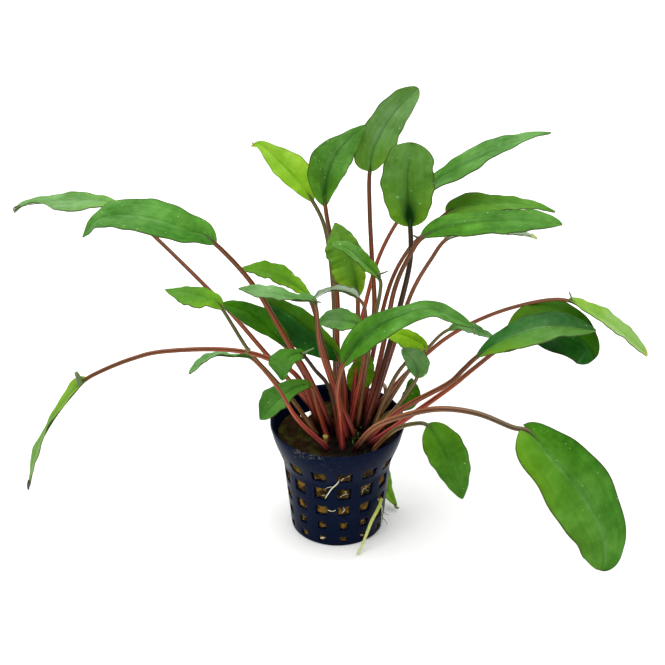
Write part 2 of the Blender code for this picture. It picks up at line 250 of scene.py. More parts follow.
# %% [markdown]
# Every sheet is finished in the same few steps that one would take by hand: its modifiers are
# applied, it is joined to the other parts of its piece and shaded smooth, and the finished piece
# takes the place of its CAD nodes.

# %% Finishing helpers
def apply_modifier(sheet, kind, **settings):
    """Adds a modifier with its settings and applies it"""
    bpy.context.view_layer.objects.active = sheet
    added = sheet.modifiers.new(kind.lower(), kind)
    for key, value in settings.items():
        setattr(added, key, value)
    bpy.ops.object.modifier_apply(modifier=added.name)


def join(pieces):
    """Joins the pieces into the first one"""
    bpy.ops.object.select_all(action="DESELECT")
    for piece in pieces:
        piece.select_set(True)
    bpy.context.view_layer.objects.active = pieces[0]
    bpy.ops.object.join()
    bpy.ops.object.select_all(action="DESELECT")
    return pieces[0]


def shade(piece, sharp_from=None):
    """Shades a piece smooth, but not across edges that turn by more than that many degrees"""
    bpy.ops.object.select_all(action="DESELECT")
    bpy.context.view_layer.objects.active = piece
    piece.select_set(True)
    if sharp_from:
        bpy.ops.object.shade_smooth_by_angle(angle=math.radians(sharp_from))
    else:
        bpy.ops.object.shade_smooth()
    piece.select_set(False)


def settle(piece, slot, *nodes):
    """Rides the piece on the plant's one body, in place of its CAD nodes"""
    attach(piece, "root")
    if nodes:
        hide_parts(*nodes)
    piece.data.calc_loop_triangles()
    print(piece.name, "triangles:", len(piece.data.loop_triangles))


# %% [markdown]
# ## The net pot
# The real pot is injection moulded in one shot: a cup with a flared collar and five rows of
# small windows, through which the roots find their way. One could cut the windows with a
# boolean, but a sheet with window faces left out stays clean: it is rolled to a cup, gets the
# wall's thickness and then a small round on every edge, as a moulding has.

# %% Pot lines
POT_HEIGHT = 50 * MM
RIM_RADIUS = 27.4 * MM
BASE_RADIUS = 19 * MM
NECK_RADIUS = 22.1 * MM
NECK_HEIGHT = 31 * MM
COLLAR_POWER = 1.2
COLLAR_LINES = (43 * MM, 46 * MM)
COLLAR_INSET = 0.2 * MM
POT_WALL = 1.2 * MM
POT_EDGE = 0.4 * MM
LIP_HEIGHT = 1.6 * MM
LIP_STEP = 0.3 * MM
LIP_ROUND = 0.3 * MM
WINDOW_COLUMNS = 14
COLUMN_PITCH = 2 * math.pi / WINDOW_COLUMNS
FIRST_COLUMN = math.radians(-82.6)
# The foot and head of each row of windows, and its width in degrees
WINDOW_ROWS = [
    (2.0 * MM, 4.8 * MM, 9.0),
    (8.6 * MM, 12.5 * MM, 10.0),
    (16.3 * MM, 21.1 * MM, 13.5),
    (24.8 * MM, 30.6 * MM, 14.5),
    (34.6 * MM, 39.7 * MM, 14.5),
]
# From where to where the slots in the bottom reach, and their width in degrees
BOTTOM_SLOTS = (7.5 * MM, 15 * MM, 12.0)
WINDOW_STEPS = 4
RIB_STEPS = 4
BAND_STEPS = 3


def pot_radius(height):
    """Outer radius of the pot: a straight taper, then a collar that flares to the rim"""
    if height <= NECK_HEIGHT:
        return BASE_RADIUS + (NECK_RADIUS - BASE_RADIUS) * height / NECK_HEIGHT
    flare = (height - NECK_HEIGHT) / (POT_HEIGHT - NECK_HEIGHT)
    return NECK_RADIUS + (RIM_RADIUS - NECK_RADIUS) * math.sin(math.pi / 2 * flare ** COLLAR_POWER)


def pot_lines():
    """Radius, height and window width of each line round the pot, and whether windows stand
    between it and the next one"""
    slot_in, slot_out, slot_width = BOTTOM_SLOTS
    low_width, high_width = WINDOW_ROWS[0][2], WINDOW_ROWS[-1][2]
    lip = POT_HEIGHT - LIP_HEIGHT
    stops = [(0.0, 0.0, slot_width, False), (slot_in, 0.0, slot_width, True),
             (slot_out, 0.0, slot_width, False), (BASE_RADIUS - POT_EDGE, 0.0, low_width, False),
             (BASE_RADIUS, POT_EDGE, low_width, False)]
    for bottom, top, width in WINDOW_ROWS:
        stops += [(pot_radius(bottom), bottom, width, True), (pot_radius(top), top, width, False)]
    for height in (*COLLAR_LINES, lip - LIP_ROUND):
        stops.append((pot_radius(height) - COLLAR_INSET, height, high_width, False))
    stops += [(pot_radius(lip) - COLLAR_INSET + LIP_STEP, lip, high_width, False),
              (RIM_RADIUS, POT_HEIGHT - LIP_ROUND, high_width, False),
              (RIM_RADIUS - LIP_ROUND, POT_HEIGHT, high_width, False)]
    lines = []
    for start, end in zip(stops, stops[1:]):
        for step in range(BAND_STEPS):
            radius, height, width = (first + (last - first) * step / BAND_STEPS
                                     for first, last in zip(start[:3], end[:3]))
            if NECK_HEIGHT < height < lip - POT_EDGE:
                radius = pot_radius(height) - COLLAR_INSET
            lines.append((radius, height, width, start[3]))
    lines.append(stops[-1])
    return lines


print("lines round the pot:", len(pot_lines()))

# %% [markdown]
# The flat grid has a row for each of those lines and a column for each step round the pot. The
# faces where windows will be are selected and deleted while it is still flat. Then it is rolled
# to the cup, the wall gets its thickness, and a bevel rounds the edges.

# %% Pot shape
def outward(angle):
    """The level way from the pot's middle at that angle"""
    return Vector((math.cos(angle), math.sin(angle), 0))


def column_angle(step, width):
    """The angle of a line that climbs the pot, for windows this many degrees wide"""
    column, part = divmod(step, WINDOW_STEPS + RIB_STEPS)
    window = math.radians(width)
    start = FIRST_COLUMN + column * COLUMN_PITCH - window / 2
    if part <= WINDOW_STEPS:
        return start + window * part / WINDOW_STEPS
    return start + window + (COLUMN_PITCH - window) * (part - WINDOW_STEPS) / RIB_STEPS


def make_pot():
    """The net pot as one shell, with its windows open"""
    lines = pot_lines()
    around = WINDOW_COLUMNS * (WINDOW_STEPS + RIB_STEPS)
    up = len(lines) - 1
    pot = add_sheet("net_pot_shell", around, up)
    bpy.ops.object.mode_set(mode="EDIT")
    bpy.ops.mesh.select_mode(type="FACE")
    bpy.ops.mesh.select_all(action="DESELECT")
    bpy.ops.object.mode_set(mode="OBJECT")
    for face in pot.data.polygons:
        part = int((face.center.x + 0.5) * around) % (WINDOW_STEPS + RIB_STEPS)
        line = int((face.center.y + 0.5) * up)
        face.select = part < WINDOW_STEPS and lines[line][3]
    bpy.ops.object.mode_set(mode="EDIT")
    bpy.ops.mesh.delete(type="FACE")
    bpy.ops.mesh.select_mode(type="VERT")
    bpy.ops.object.mode_set(mode="OBJECT")

    def where(turn, climb):
        radius, height, width, _ = lines[round(climb * up)]
        return outward(column_angle(round(turn * around), width)) * radius + Vector((0, 0, height))

    place_points(pot, where)
    weld(pot)
    apply_modifier(pot, "SOLIDIFY", thickness=POT_WALL, offset=-1, use_even_offset=True)
    apply_modifier(pot, "BEVEL", width=POT_EDGE, segments=2, limit_method="ANGLE",
                   angle_limit=math.radians(50))
    shade(pot, sharp_from=35)
    return pot


pot = make_pot()
print("windows:", WINDOW_COLUMNS * len(WINDOW_ROWS))

# %% [markdown]
# The pot is polypropylene, moulded in dark navy. The plastic is smooth but not polished, so it
# shows broad grey lights, and it comes from a tank: there is a film of lime and algae, thicker
# where water ran off the rim. The film is a second, lighter and rougher colour laid over the
# navy by noise whose grain is about 1 mm.

# %% Pot plastic
BLACK = "#000000"
WHITE = "#ffffff"


def object_noise(tree, scale, detail):
    """Noise that stays with the piece. scale is in grains a metre"""
    spot = add(tree, "ShaderNodeTexCoord").outputs["Object"]
    return add(tree, "ShaderNodeTexNoise", {"Vector": spot, "Scale": scale, "Detail": detail})


def moulded_polypropylene():
    made, tree, shader = new_material("moulded navy polypropylene")
    # fine crusts, and the broad patches that they keep to
    fine = add(tree, "ShaderNodeValToRGB", {"Fac": object_noise(tree, 900, 6)},
               [(0.52, BLACK), (0.72, WHITE)])
    broad = add(tree, "ShaderNodeValToRGB", {"Fac": object_noise(tree, 90, 4)},
                [(0.45, BLACK), (0.8, WHITE)])
    film = add(tree, "ShaderNodeMath", {0: fine, 1: broad}, operation="MULTIPLY")
    rough = add(tree, "ShaderNodeMapRange", {"Value": film, "To Min": 0.3, "To Max": 0.6})
    bump = add(tree, "ShaderNodeBump", {"Height": object_noise(tree, 400, 4), "Strength": 0.15,
                                        "Distance": 0.2 * MM})
    # the film of lime and algae takes away most of the plastic's own shine
    feed(tree, shader, {"Base Color": paint_over(tree, "#040f27", (film, "#222e3e")),
                        "Roughness": rough, "Normal": bump, "IOR": 1.49,
                        "Specular IOR Level": 0.03})
    return made


pot.data.materials.append(moulded_polypropylene())
settle(pot, "pot_plastic", "net_pot")


# %% [markdown]
# ## The mineral wool
# Rock spun to fibres and pressed into a plug. It is ochre where it shows in the windows and
# almost black where water and algae soaked the top, and it swells a little into each window. A
# closed sheet is rolled to the plug's shape and roughened by noise, and some thousand fine
# strands laid on it break up its surface as the real fibres do.

# %% Wool sizes
GAP = 0.35 * MM
WOOL_TOP = 43 * MM
WOOL_HOLLOW = Vector((-12 * MM, 18.4 * MM, 0))
HOLLOW_DEPTH = 7.5 * MM
HOLLOW_RADIUS = 8 * MM
WOOL_SWELL = 1.0 * MM
# How high and how wide the side's roughness, the top's lumps and the top's grain are
ROUGH, ROUGH_SIZE = 0.5 * MM, 1.6 * MM
LUMP, LUMP_SIZE = 1.6 * MM, 5 * MM
GRAIN, GRAIN_SIZE = 0.4 * MM, 1.2 * MM
ROUGH_INSET = 0.2 * MM


def smooth_step(value):
    """From 0 to 1, with a soft start and a soft end"""
    held = min(max(value, 0.0), 1.0)
    return held * held * (3 - 2 * held)


def wool_height(x, y):
    """How high the wool's top is, with its hollow at the back left"""
    away = math.hypot(x - WOOL_HOLLOW.x, y - WOOL_HOLLOW.y)
    return WOOL_TOP - HOLLOW_DEPTH * smooth_step(1 - away / HOLLOW_RADIUS)


def in_window(angle, height):
    """How deep inside a window that place of the wall is, from 0 at its edge to 1"""
    for bottom, top, width in WINDOW_ROWS:
        if bottom < height < top:
            off = abs((angle - FIRST_COLUMN + COLUMN_PITCH / 2) % COLUMN_PITCH - COLUMN_PITCH / 2)
            across = 1 - off / (math.radians(width) / 2)
            climb = 1 - abs(2 * height - bottom - top) / (top - bottom)
            return smooth_step(3 * across) * smooth_step(3 * climb) if across > 0 else 0
    return 0


def wool_radius(height, angle=None):
    """How far out the wool reaches, with its swelling in a window if an angle is given"""
    inside = pot_radius(height) - POT_WALL - GAP
    return inside if angle is None else inside + WOOL_SWELL * in_window(angle, height)


def wool_lumps(place, size):
    """Rounded lumps of that size, from -1 to 1"""
    return noise.fractal(place / size, 0.7, 2.0, 3)


print("wool's edge in mm:", round(wool_radius(WOOL_TOP) / MM, 1))

# %% [markdown]
# The first rows of the sheet climb the plug's side, and the others run in over its top to the
# middle. Lumps and a finer grain come from the same noise at two sizes, and the lumps are lower
# near the edge, where the wool touches the pot.

# %% Wool shape
WOOL_AROUND = 168
WOOL_SIDE = 70
WOOL_TOP_RINGS = 26


def make_wool():
    """The plug as one closed sheet, rough on its side and lumpy on its top"""
    rows = WOOL_SIDE + WOOL_TOP_RINGS
    wool = add_sheet("wool", WOOL_AROUND, rows)
    foot = POT_WALL + GAP
    edge = wool_radius(WOOL_TOP)

    def where(turn, climb):
        angle = 2 * math.pi * turn
        row = round(climb * rows)
        way = outward(angle)
        if row <= WOOL_SIDE:
            top = wool_height(way.x * edge, way.y * edge)
            height = foot + (top - foot) * row / WOOL_SIDE
            spot = way * wool_radius(height, angle) + Vector((0, 0, height))
            if row == 0:
                return spot
            return spot + way * (ROUGH * wool_lumps(spot, ROUGH_SIZE) - ROUGH_INSET)
        share = 1 - (row - WOOL_SIDE) / WOOL_TOP_RINGS
        flat = way * edge * share
        rise = LUMP * wool_lumps(flat, LUMP_SIZE) * min(1, 4 * (1 - share) + 0.3)
        rise += GRAIN * wool_lumps(flat + Vector((0, 0, 1)), GRAIN_SIZE)
        return flat + Vector((0, 0, wool_height(flat.x, flat.y) + rise))

    place_points(wool, where)
    weld(wool)
    close_ends(wool)
    shade(wool)
    return wool


wool = make_wool()
print("points of the wool:", len(wool.data.vertices))

# %% [markdown]
# The strands could be grown as hair, but a few thousand bent prisms of three sides are light, and
# they are a mesh like the rest. Their places are drawn at random from a fixed seed, so that they
# come out the same each time.

# %% Places of the strands
STRANDS = 3200
STRAND_SINK = 0.1 * MM
WINDOW_SHARE = 0.55
# How far the strands keep from the foot and head of a window, and from the wool's edge
WINDOW_MARGIN = 0.3 * MM
EDGE_MARGIN = 1.15 * MM


def strand(draw, place, out, along, shortest, longest):
    """One strand: its place, its outward way, the way it runs, its reach and its bend"""
    return place, out, along.normalized(), draw.uniform(shortest, longest) * MM, draw.uniform(-1, 1)


def way_on_wall(draw, out):
    """A random way along an upright wall that faces out"""
    return Vector((-out.y, out.x, 0)) * draw.uniform(-1, 1) + Vector((0, 0, draw.uniform(-1, 1)))


def wool_strands():
    """Strands on the wool, in the windows and on its open top"""
    draw = random.Random(7)
    strands = []
    for _ in range(STRANDS):
        if draw.random() < WINDOW_SHARE:
            bottom, top, width = draw.choice(WINDOW_ROWS)
            angle = FIRST_COLUMN + draw.randrange(WINDOW_COLUMNS) * COLUMN_PITCH
            angle += math.radians(width) * draw.uniform(-0.42, 0.42)
            height = draw.uniform(bottom + WINDOW_MARGIN, top - WINDOW_MARGIN)
            out = outward(angle)
            place = out * (wool_radius(height, angle) - STRAND_SINK) + Vector((0, 0, height))
            strands.append(strand(draw, place, out, way_on_wall(draw, out), 0.5, 1.3))
        else:
            angle = draw.uniform(0, 2 * math.pi)
            reach = (wool_radius(WOOL_TOP) - EDGE_MARGIN) * math.sqrt(draw.random())
            place = outward(angle) * reach
            place.z = wool_height(place.x, place.y) + LUMP * wool_lumps(place, LUMP_SIZE)
            out = Vector((draw.uniform(-0.4, 0.4), draw.uniform(-0.4, 0.4), 1)).normalized()
            along = Vector((draw.uniform(-1, 1), draw.uniform(-1, 1), draw.uniform(-0.2, 0.3)))
            strands.append(strand(draw, place, out, along, 0.8, 2.4))
    return strands


placed = wool_strands()
print("strands placed:", len(placed))

# %% [markdown]
# Each strand is bent sideways and arched a little away from the wool, and it is thinner at its
# ends. All of them go into one mesh, because thousands of objects would be slow.

# %% Wool strands
STRAND_THICKNESS = 0.07 * MM
STRAND_RINGS = 4


def make_fibres(name, strands, thick):
    """Bent three-sided strands, all in one mesh"""
    points, faces = [], []
    for place, out, along, reach, bend in strands:
        side = along.cross(out).normalized()
        first = len(points)
        for ring in range(STRAND_RINGS):
            share = ring / (STRAND_RINGS - 1) - 0.5
            spot = place + along * (2 * reach * share) + side * (bend * reach * share * share)
            spot += out * (0.35 * reach * (0.25 - share * share))
            size = thick * (1 - 1.2 * share * share)
            for turn in range(3):
                angle = 2 * math.pi * turn / 3
                points.append(spot + side * (size * math.cos(angle))
                              + out * (size * math.sin(angle)))
        last = len(points) - 1
        faces += [(first, first + 1, first + 2), (last, last - 1, last - 2)]
        for low in range(first, last - 2, 3):
            for turn in range(3):
                nxt = (turn + 1) % 3
                faces.append((low + turn, low + 3 + turn, low + 3 + nxt, low + nxt))
    mesh = bpy.data.meshes.new(name)
    mesh.from_pydata(points, [], faces)
    made = bpy.data.objects.new(name, mesh)
    bpy.context.scene.collection.objects.link(made)
    print(name, "strands:", len(strands))
    return made


fibres = make_fibres("wool_fibres", placed, STRAND_THICKNESS)

# %% [markdown]
# Mineral wool is glassy, so each strand shows a little glint, here a painted glint in its lighter
# colour, but in bulk it looks matt, and wet wool looks dark. The colour runs from ochre to soaked
# brown by noise with lumps of about 3 mm, and above the windows it turns to the dark brown and
# moss green of the open top. Between the stalks the top is painted near black, as painted shade.

# %% Wool material
# the middle of the crown, where the painted shade on the wool is darkest
CROWN_CENTRE = (7 * MM, -4 * MM, 43 * MM)


def spun_rock_wool(name, dry, soaked, moss):
    made, tree, shader = new_material(name)
    patch = add(tree, "ShaderNodeValToRGB", {"Fac": object_noise(tree, 330, 5)},
                [(0.42, soaked), (0.6, dry)])
    green = add(tree, "ShaderNodeValToRGB", {"Fac": object_noise(tree, 160, 3)},
                [(0.5, BLACK), (0.68, WHITE)])
    spot = add(tree, "ShaderNodeTexCoord").outputs["Object"]
    height = add(tree, "ShaderNodeSeparateXYZ", {"Vector": spot}).outputs["Z"]
    upper = add(tree, "ShaderNodeMapRange", {"Value": height, "From Min": 33.5 * MM,
                                             "From Max": 41.5 * MM})
    # painted shade: the wool is painted near black between the stalks, where little light gets in
    away = add(tree, "ShaderNodeVectorMath", {0: spot, 1: CROWN_CENTRE}, operation="DISTANCE")
    crown_shade = add(tree, "ShaderNodeMapRange", {"Value": away, "From Min": 22 * MM, "From Max": 12 * MM,
                                           "To Max": 0.95})
    top = paint_over(tree, "#2e1c0a", (green, moss), (crown_shade, "#0a0705"))
    bump = add(tree, "ShaderNodeBump", {"Height": object_noise(tree, 1800, 6), "Strength": 0.6,
                                        "Distance": 0.4 * MM})
    feed(tree, shader, {"Base Color": paint_over(tree, patch, (upper, top)), "Normal": bump,
                        "Roughness": 0.9, "Specular IOR Level": 0.1})
    return made


wool.data.materials.append(spun_rock_wool("soaked mineral wool", "#7c5a20", "#20170a", "#3c4210"))
# the strands are lighter ochre than the wool, partly as painted glint of the glassy fibres
fibres.data.materials.append(spun_rock_wool("mineral wool strands", "#9c7a34", "#3c2c12",
                                            "#565c22"))
wool = join([wool, fibres])

# %% [markdown]
# ## The leaves
# Each leaf is one growth: a fleshy stalk that starts in a sheath in the wool, thins upwards and
# runs on as the blade's midrib, and a thin waxy blade with a wavy edge. The CAD gives each leaf
# its line and its size. A blade could be cut from a textured plane, but here it is a true sheet,
# with its fold along the midrib, its waves and its thickness, so that it is right from all sides.

# %% Leaf table
# Points are in mm. width is the blade's, and faces is the way that its upper side looks. belly is
# where along its length it is widest, taper how full its ends are, and fold how many degrees its
# halves rise. plus and minus scale the half widths on both sides of the midrib at even steps from
# the collar to the tip, lobe is how far the base reaches back past the collar, and wave is the
# height and number of the waves in the edge. stem names the stalk's colour. look tells how dark
# the throat is, how fresh the flesh, how strong the painted sheen and how deep the green is, each
# from 0 up, and which side of the midrib is painted lit and fresh, from -1 to 1, the other side
# getting painted shade. A throat below 0 pales the midrib with painted sheen.
Leaf = namedtuple("Leaf", "name stalk rib width faces tone belly taper fold plus minus lobe wave "
                  "stem look",
                  defaults=("green", 0.42, 0.75, 12, (1, 1), (1, 1), 2.0, (0.3, 3), "red",
                            (0.4, 0.2, 0.3, 0, 0)))

LEAVES = [
    Leaf("leaf_left_far",
         [(-4, 4), (-15, 10, 56), (-29, 21, 68), (-49, 38, 84), (-78, 58, 105), (-91, 64, 114)],
         [(-106, 66, 116), (-122, 66, 115), (-131, 65, 114), (-135, 64, 111)],
         13, (0, 0, 1), belly=0.4, plus=(0.5, 0.75, 0.75, 0.75, 1), minus=(1, 1.9, 2.5, 0.2, 1),
         stem="brown", look=(0, 0.3, 1.6, 0, 0)),
    Leaf("leaf_left_broad",
         [(-2, 1), (-11, 5, 66), (-20, 8, 82), (-34, 15, 105), (-50, 20, 122)],
         [(-59, 23, 125), (-72, 27, 128), (-87, 31, 128), (-97, 33, 124), (-103, 34, 116)],
         20, (0.1, -0.3, 1), belly=0.54, taper=0.6, plus=(1.8, 1.12, 0.92, 0.72, 0.3),
         minus=(2, 1.35, 1.14, 0.9, 0.5), stem="brown", look=(0.15, 0.05, 0.4, 0, 0.3)),
    Leaf("leaf_left_drooping",
         [(-7, 1), (-15, 0, 69), (-28, -1, 80), (-45, -4, 86), (-69, -7, 87), (-82, -8, 84),
          (-94, -9, 79), (-101, -10, 75)],
         [(-108, -10, 67), (-116, -11, 55), (-122, -12, 42), (-126, -12, 25)],
         16, (-0.7, -0.4, 0.3), tone="pale", plus=(1.1, 0.35, 0.15, 0.4, 0.3),
         minus=(0.5, 0.2, 0.15, 0.6, 0.3), stem="brown", look=(0, 1.2, 0.7, 0, 0)),
    Leaf("leaf_left_small",
         [(-8, -3), (-18, 0, 59), (-27, 2, 70), (-36, 4, 81), (-47, 7, 100)],
         [(-52, 9, 102), (-60, 12, 103), (-69, 14, 103)],
         12, (0, -0.2, 1), tone="bright", plus=(0.75, 0.75, 0.65, 0.4, 0.4),
         minus=(1.4, 1.5, 1.6, 1.6, 1.2), stem="olive", look=(0.1, 0.6, 0.3, 0, 0)),
    Leaf("leaf_left_low",
         [(-4, -12), (-16, -15, 60), (-24, -17, 77), (-34, -18, 91)],
         [(-42, -19, 93), (-48, -19, 93), (-53, -20, 90), (-58, -22, 86)],
         9, (0, 0.2, 1), belly=0.7, plus=(0.4, 0.25, 0.5, 0.8, 1), minus=(0.4, 0.5, 1, 1, 1),
         look=(0.1, 0, 1.2, 0, 0)),
    Leaf("leaf_left_bright",
         [(-7, 10), (-13, 10, 64), (-21, 11, 78)],
         [(-28, 15, 84), (-37, 20, 89), (-47, 25, 90)],
         15, (-0.2, -0.5, 0.8), tone="bright", plus=(1, 0.8, 0.75, 0.65, 1),
         minus=(0.3, 0.4, 0.65, 0.8, 1), look=(0.35, 0.1, 0, 0.3, 0)),
    Leaf("leaf_left_wavy",
         [(7, -3), (0, 2, 61), (-6, 7, 82), (-11, 11, 100)],
         [(-19, 16, 105), (-29, 20, 108), (-39, 22, 108)],
         13, (0, 0, 1), belly=0.58, wave=(0.4, 4), stem="brown", look=(0.3, 0.7, 0, 0.1, 0)),
    Leaf("leaf_left_pale",
         [(4, -5), (-1, -4, 65), (-7, -5, 88), (-9, -5, 108)],
         [(-17, -3, 109), (-27, -1, 110), (-39, 1, 111)],
         13, (0, 0.05, 1), tone="pale", plus=(0.8, 0.45, 0.75, 1, 1),
         minus=(0.6, 0.45, 0.8, 1.3, 1.3), look=(-0.2, 0, 0.6, 0.1, 0)),
    Leaf("leaf_left_dark",
         [(3, 5), (3, 8, 61), (0, 10, 74)],
         [(-8, 15, 80), (-19, 22, 86), (-31, 28, 90)],
         18, (-0.1, -0.6, 0.8), tone="dark", plus=(0.6, 0.5, 0.62, 0.7, 1),
         minus=(1, 1.1, 1.15, 1.1, 1), look=(0.5, 0.5, 0, 0, 1)),
    Leaf("leaf_left_nodding",
         [(1, -6), (-3, -6, 68), (-9, -8, 79), (-14, -9, 87)],
         [(-17, -11, 88), (-20, -13, 86), (-22, -14, 78)],
         12, (-0.3, -0.6, 0.7), plus=(0.5, 0.5, 1.1, 1.5, 1), minus=(1, 0.7, 0.6, 0.6, 1),
         stem="dark", look=(0.4, 0.1, 0.25, 0.1, 0)),
    Leaf("leaf_front_left",
         [(-4, -5), (-8, -6, 59), (-11, -6, 70)],
         [(-18, -7, 69), (-25, -8, 63), (-31, -9, 56)],
         14, (-0.2, -0.5, 0.85), belly=0.55, plus=(1, 0.85, 0.85, 1.15, 1),
         minus=(1, 0.75, 0.75, 0.75, 1), look=(0.45, 0.1, 0.3, 0.1, 0)),
    Leaf("leaf_top_yellow",
         [(-1, 13), (-1, 19, 73), (-2, 26, 100), (-5, 34, 120), (-11, 40, 131)],
         [(-17, 45, 137), (-25, 51, 143), (-31, 55, 147), (-35, 56, 146)],
         14, (-0.2, -0.6, 0.8), tone="lime", plus=(1, 1.2, 1.05, 0.75, 0.45),
         minus=(0.8, 0.7, 0.75, 0.7, 0.8), stem="olive", look=(0, 0.2, 0.2, 0, 0)),
    Leaf("leaf_top_left",
         [(2, 11), (0, 17, 76), (0, 21, 94), (-2, 26, 115), (-5, 31, 134)],
         [(-3, 35, 146), (2, 40, 154), (11, 45, 161)],
         16, (0, -0.9, 0.3), belly=0.38, plus=(0.5, 0.7, 0.9, 1, 1),
         minus=(0.8, 1.1, 1.15, 0.75, 0.8), stem="brown", look=(0.8, 0.2, 0.4, 0, 0)),
    Leaf("leaf_top_tall",
         [(7, 13), (12, 17, 72), (15, 22, 89), (14, 30, 108), (13, 36, 127), (13, 42, 142)],
         [(16, 46, 153), (23, 50, 164), (32, 54, 173)],
         16, (0.1, -0.95, 0.2), taper=0.5, plus=(0.8, 1, 0.85, 0.85, 1),
         minus=(1.5, 1.15, 1, 1.12, 1.2), lobe=0, stem="brown", look=(0, 0.6, 0.95, 0, 0)),
    Leaf("leaf_top_oval",
         [(11, 1), (19, 10, 70), (25, 16, 93), (29, 19, 113), (29, 24, 127)],
         [(28, 27, 137), (28, 31, 147), (30, 35, 158)],
         22, (0, -0.9, 0.45), belly=0.52, taper=0.5, plus=(1.4, 1.05, 1, 1.05, 1.6),
         minus=(1.4, 1, 1, 1.05, 1.5), lobe=0.5, stem="dark", look=(1.4, 0.55, 0.5, 0.1, 0)),
    Leaf("leaf_top_right",
         [(6, 16), (8, 21, 73), (11, 26, 87), (17, 37, 105), (26, 46, 119), (37, 51, 130)],
         [(48, 51, 138), (62, 54, 144), (76, 57, 149), (87, 60, 150)],
         12, (-0.2, -0.1, 1), belly=0.32, plus=(2.2, 1.9, 1.25, 1, 1),
         minus=(1, 0.95, 1.35, 1.25, 1), look=(0.3, 0.05, 0.6, 0, 0)),
    Leaf("leaf_middle_upright",
         [(6, 6), (8, 11, 77), (8, 15, 101)],
         [(6, 18, 111), (3, 21, 119), (-1, 24, 128)],
         17, (0, -0.9, 0.4), plus=(0.6, 0.6, 0.72, 0.85, 1), minus=(1, 1.1, 1, 1.3, 1),
         wave=(0.5, 5), look=(0.5, 1, 0.3, 0, 0)),
    Leaf("leaf_middle_twisted",
         [(8, 3), (13, 5, 83), (17, 8, 106), (16, 9, 112)],
         [(10, 8, 119), (4, 6, 126), (-3, 5, 129)],
         12, (0.2, -0.3, 0.9), plus=(0.8, 0.8, 0.8, 0.8, 1), minus=(0.8, 0.7, 0.75, 0.9, 1),
         stem="olive", look=(0.2, 0.3, 0.35, 0, 0)),
    Leaf("leaf_middle_arching",
         [(9, 8), (11, 7, 81), (11, 5, 99), (7, 4, 106)],
         [(2, 2, 110), (-4, 0, 111), (-10, -2, 108)],
         9, (0, 0.6, 0.8), tone="silver", stem="rose", look=(-1, 0, 1, 0, 0)),
    Leaf("leaf_middle_grey",
         [(5, 2), (10, 1, 74), (11, 0, 88), (8, 0, 95)],
         [(3, 1, 96), (-3, 2, 96), (-8, 3, 94)],
         11, (0, -0.4, 1), look=(0.3, 0.1, 0.8, 0, 0)),
    Leaf("leaf_middle_broad",
         [(2, -11), (1, -11, 59), (0, -11, 71), (3, -10, 84)],
         [(11, -9, 95), (24, -7, 103), (37, -5, 105), (54, -2, 95)],
         16, (0, -0.25, 1), belly=0.35, plus=(0.8, 1.15, 1, 1, 1.4),
         minus=(1, 0.95, 0.55, 0.88, 1.6), look=(0.6, 0.1, 0.35, 0.05, 0)),
    Leaf("leaf_middle_bright",
         [(6, 8), (7, 9, 59)],
         [(10, 9, 67), (12.5, 10, 76)],
         11, (0, -0.8, 0.5), tone="bright", look=(0, 1, 0, 0, 0)),
    Leaf("leaf_right_upper",
         [(10, 12), (15, 19, 72), (21.2, 27, 97), (28.2, 34, 109), (35.5, 39, 115),
          (46, 43.5, 123)],
         [(56, 45, 125), (72, 46, 125), (89, 46, 121)],
         12, (0, -0.1, 1), belly=0.36, plus=(1.5, 1.5, 1.45, 0.8, 0.8),
         minus=(1.5, 1.2, 0.68, 0.95, 1), stem="brown", look=(0, 0.45, 0.2, 0, 0)),
    Leaf("leaf_right_long",
         [(11, 5), (18.4, 14, 75.5), (22.9, 16, 102), (28.9, 16, 118), (35, 19, 125)],
         [(49, 22, 128), (70, 26, 128), (90, 28, 125)],
         17, (0, -0.15, 1), belly=0.5, taper=0.6, plus=(1.3, 1.3, 1.3, 1.25, 0.7),
         minus=(1.5, 1, 0.67, 0.9, 1.5), stem="brown", look=(0.4, 0.1, 0.25, 0.1, 0)),
    Leaf("leaf_right_hidden",
         [(13, 8), (23, 17, 75), (30, 23, 96), (38, 30, 108), (45, 35, 115)],
         [(58, 38, 117), (80, 42, 112)],
         14, (0, 0, 1), tone="silver", plus=(0.5, 0.5, 0.5, 0.5, 0.5), stem="rose",
         look=(0, 0.2, 1, 0, 0)),
    Leaf("leaf_right_yellow",
         [(15, 4), (23, 7, 65), (30, 8, 75), (35, 9, 79)],
         [(30, 9, 83), (25, 9, 85), (19, 9, 85)],
         12, (0, -0.6, 0.8), tone="lime", plus=(0.6, 0.5, 0.5, 0.5, 1), stem="straw",
         look=(0, 0.2, 0, 0, 0)),
    Leaf("leaf_right_narrow",
         [(16, 8), (29, 14, 64), (37, 15, 75), (42, 14, 82), (46, 12, 86)],
         [(51, 12, 87), (63, 12, 82)],
         9, (0.1, -0.4, 0.85), plus=(0.6, 0.6, 0.6, 0.6, 1), minus=(0.6, 0.6, 0.6, 0.6, 1),
         stem="straw", look=(0, 0, 1.6, 0, 0)),
    Leaf("leaf_right_broad",
         [(12, -6), (26, -6, 59), (44, -6, 71), (50, -5, 77), (56, -4, 83)],
         [(66, -3, 90), (82, -1, 95), (103, 2, 91)],
         20, (0.1, -0.35, 1), tone="dark", belly=0.55, taper=0.8, plus=(1.1, 1.05, 0.97, 0.7, 0.8),
         minus=(1, 0.7, 0.62, 0.75, 1), stem="brown", look=(-0.5, 0.55, 0.35, 0, 0.6)),
    Leaf("leaf_right_dark",
         [(13, -9), (25, -9, 54), (45, 0, 65), (54, 4, 71), (66, 9, 79)],
         [(77, 12, 86), (85, 12, 87), (95, 12, 84), (101, 11, 79), (104.5, 9, 74)],
         18, (0.4, -0.4, 0.8), tone="dark", belly=0.55, taper=0.4, plus=(1, 0.9, 1.6, 1.8, 2.6),
